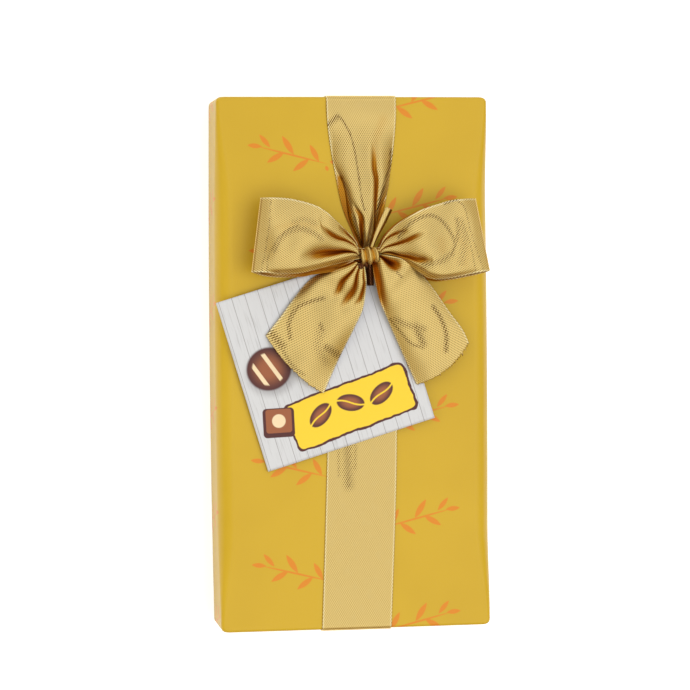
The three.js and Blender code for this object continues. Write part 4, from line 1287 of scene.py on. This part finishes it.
bmesh.ops.recalc_face_normals(tray, faces=tray.faces)
insert = finish_piece("insert", tray, INSERT_BROWN, "base", ["insert_tray"])
if insert.data.polygons[0].normal.z < 0:
    insert.data.flip_normals()
thicken(insert, SKIN, -1.0)

# %% [markdown]
# ## Pralines
# Eight pralines, two of each mould: a fluted dome, a stepped square, an oval with a nut shape on top and
# a ribbed log. Each is a stack of rings, from the foot to the crown, extruded one after the other.


# %% Chocolate materials
def chocolate(name, colour, bloom):
    """Tempered chocolate: a satin skin with fine pits and a slightly paler bloom."""
    material, tree, shader = new_material(name, Coat_Weight=0.35, Coat_Roughness=0.22)
    place = own_place(tree)
    haze = use_group(tree, fibre, Vector=place, Scale=140.0)["Height"]
    pits = use_group(tree, fibre, Vector=place, Scale=1500.0)["Height"]
    shade = blend_colour(tree, soft_step(tree, haze, 0.4, 0.75), colour, bloom)
    feed(tree, shader, Base_Color=shade, Roughness=calc(tree, "MULTIPLY_ADD", haze, 0.2, 0.25))
    raise_bumps(tree, shader, pits, 0.2, 0.00008)
    return material


CHOCOLATE = {
    "milk_chocolate": chocolate("choc_milk", srgb(122, 70, 38), srgb(136, 82, 48)),
    "dark_chocolate": chocolate("choc_dark", srgb(62, 32, 20), srgb(76, 42, 28)),
    "white_chocolate": chocolate("choc_white", srgb(234, 216, 176), srgb(240, 226, 194)),
}

# %% Pralines
PRALINE_HALF = 16.0
PRALINE_HEIGHT = 17.4
PRALINE_FOOT = 2.7
# A mould is how square it is, its width and length as shares, and its side as height and breadth.
MOULDS = {
    "dome": (2.0, 1.0, 1.0, ((0, 0.84), (0.03, 0.91), (0.12, 0.96), (0.28, 1), (0.42, 0.975), (0.56, 0.91),
                             (0.7, 0.8), (0.82, 0.63), (0.91, 0.44), (0.97, 0.25), (1, 0.08))),
    "square": (5.0, 0.94, 0.94, ((0, 0.88), (0.03, 0.965), (0.08, 1), (0.35, 0.955), (0.62, 0.9),
                                 (0.68, 0.875), (0.72, 0.82), (0.735, 0.72), (0.745, 0.62), (0.79, 0.58),
                                 (0.88, 0.54), (0.92, 0.46), (0.945, 0.3), (0.95, 0.08))),
    "oval": (2.3, 0.84, 1.02, ((0, 0.88), (0.03, 0.95), (0.12, 0.985), (0.25, 1), (0.4, 0.96), (0.56, 0.87),
                               (0.68, 0.75), (0.76, 0.6), (0.795, 0.46), (0.805, 0.36), (0.84, 0.34),
                               (0.9, 0.29), (0.95, 0.19), (0.965, 0.06))),
    "log": (6.0, 0.7, 0.96, ((0, 0.88), (0.03, 0.96), (0.08, 1), (0.3, 0.985), (0.5, 0.96), (0.66, 0.9),
                             (0.77, 0.8), (0.85, 0.64), (0.9, 0.42), (0.915, 0.14))),
}
RING = 120


def mould_detail(shape, angle, h, x, y):
    """A point of the mould moved for its flutes, ribs or waves, and the change of its height."""
    if shape == "dome":
        swirl = 1 - 0.05 * math.sin(math.pi * min(1, h * 1.05)) * (1 - math.cos(10 * (angle + 0.9 * h)))
        return x * swirl, y * swirl, 0
    if shape == "log":
        rib = 0.55 * math.sin(math.pi * min(1, h * 1.08)) * (0.5 + 0.5 * math.cos(2 * math.pi * y / 4.4))
        return x * (1 - 0.03 * rib), y, -rib * (h > 0.5)
    if shape == "square" and h > 0.78:
        return x, y, -0.35 * (0.5 + 0.5 * math.cos(2 * math.pi * (x + y) / 4.6))
    return x, y, 0


def make_praline(number, name, shape, slot):
    power, wide, long, side = MOULDS[shape]
    mesh = bmesh.new()
    first = bmesh.ops.create_circle(mesh, cap_ends=True, segments=RING, radius=1.0)["verts"]
    ring = list({e for v in first for e in v.link_edges})
    layers = [first]
    for _ in side[1:]:
        ring, moved = grow(mesh, ring)
        layers.append(moved)
    angles = {}
    for count, vert in enumerate(first):
        angles[round(vert.co.x, 5), round(vert.co.y, 5)] = 2 * math.pi * (count + 0.5) / RING
    for verts, (h, breadth) in zip(layers, side):
        for vert in verts:
            angle = angles[round(vert.co.x, 5), round(vert.co.y, 5)]
            x, y = squircle(angle, PRALINE_HALF * wide * breadth, PRALINE_HALF * long * breadth, power)
            x, y, dip = mould_detail(shape, angle, h, x, y)
            middle = POCKETS[number]
            vert.co = Vector((middle[0] + x, middle[1] + y, PRALINE_FOOT + h * PRALINE_HEIGHT + dip)) * MM
    bmesh.ops.contextual_create(mesh, geom=ring)
    bmesh.ops.recalc_face_normals(mesh, faces=mesh.faces)
    finish_piece(f"sweet_{name}", mesh, CHOCOLATE[slot], "base", [f"praline_{name}"])


ASSORTMENT = (("dome_a", "milk"), ("square_a", "dark"), ("log_a", "dark"), ("oval_a", "white"),
              ("oval_b", "milk"), ("log_b", "milk"), ("square_b", "white"), ("dome_b", "dark"))
for number, (name, kind) in enumerate(ASSORTMENT):
    make_praline(number, name, name[:-2], f"{kind}_chocolate")

# %% [markdown]
# ## Pad
# A quilted paper pad is glued under the lid and rests over the pralines. Its lower face is a grid whose
# cells swell between the stitch lines; the flat upper face comes from extruding that grid upwards.

# %% Pad
PAD_CELLS = (4, 9)
PAD_THICK = 2.4
pad_low, pad_high = (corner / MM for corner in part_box("lid_pad"))

PAD_BROWN, tree, shader = new_material("pad_brown", Coat_Weight=0.3, Coat_Roughness=0.3)
place = own_place(tree)
crepe = use_group(tree, fibre, Vector=place, Scale=700.0)["Height"]
brown = blend_colour(tree, crepe, (0.1, 0.05, 0.025), (0.2, 0.11, 0.055))
feed(tree, shader, Base_Color=brown, Roughness=calc(tree, "MULTIPLY_ADD", crepe, 0.25, 0.35))
raise_bumps(tree, shader, crepe, 0.5, 0.0002)


def pad_depth(u, v):
    """How far the lower face hangs below the upper one, with a crown in each cell."""
    quilt = np.abs(np.sin(math.pi * PAD_CELLS[0] * u) * np.sin(math.pi * PAD_CELLS[1] * v))
    crown = 0.55 + 0.45 * np.sqrt(np.clip(16 * u * (1 - u) * v * (1 - v), 0, 1))
    return PAD_THICK * crown * (0.45 + 0.55 * quilt**0.5)


def pad_point(s, v):
    x = mix(pad_low.x, pad_high.x, v)
    y = mix(pad_low.y, pad_high.y, s)
    return np.stack([x, y, pad_high.z - pad_depth(v, s)], -1)


pad = shaped_grid(64, 144, pad_point, lambda s, v: np.stack([v, s], -1))
grown = bmesh.ops.extrude_face_region(pad, geom=list(pad.faces))["geom"]
for vert in (v for v in grown if isinstance(v, bmesh.types.BMVert)):
    vert.co.z = pad_high.z * MM
bmesh.ops.recalc_face_normals(pad, faces=pad.faces)
lid_pad = finish_piece("pad", pad, PAD_BROWN, "lid", ["lid_pad"])

# %% [markdown]
# ## Size and finish
# The box round the frame and the box round the dressed pieces are both printed, so that they can be
# compared. The dressed box may not be larger than the frame, apart from a little for the ribbon.

# %% Finish
boxes = {"cad": cad_box, "visual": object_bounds()}
plain = {name: [list(corner) for corner in corners] for name, corners in boxes.items()}
for name, (low, high) in plain.items():
    print(name, [round((b - a) / MM, 2) for a, b in zip(low, high)])
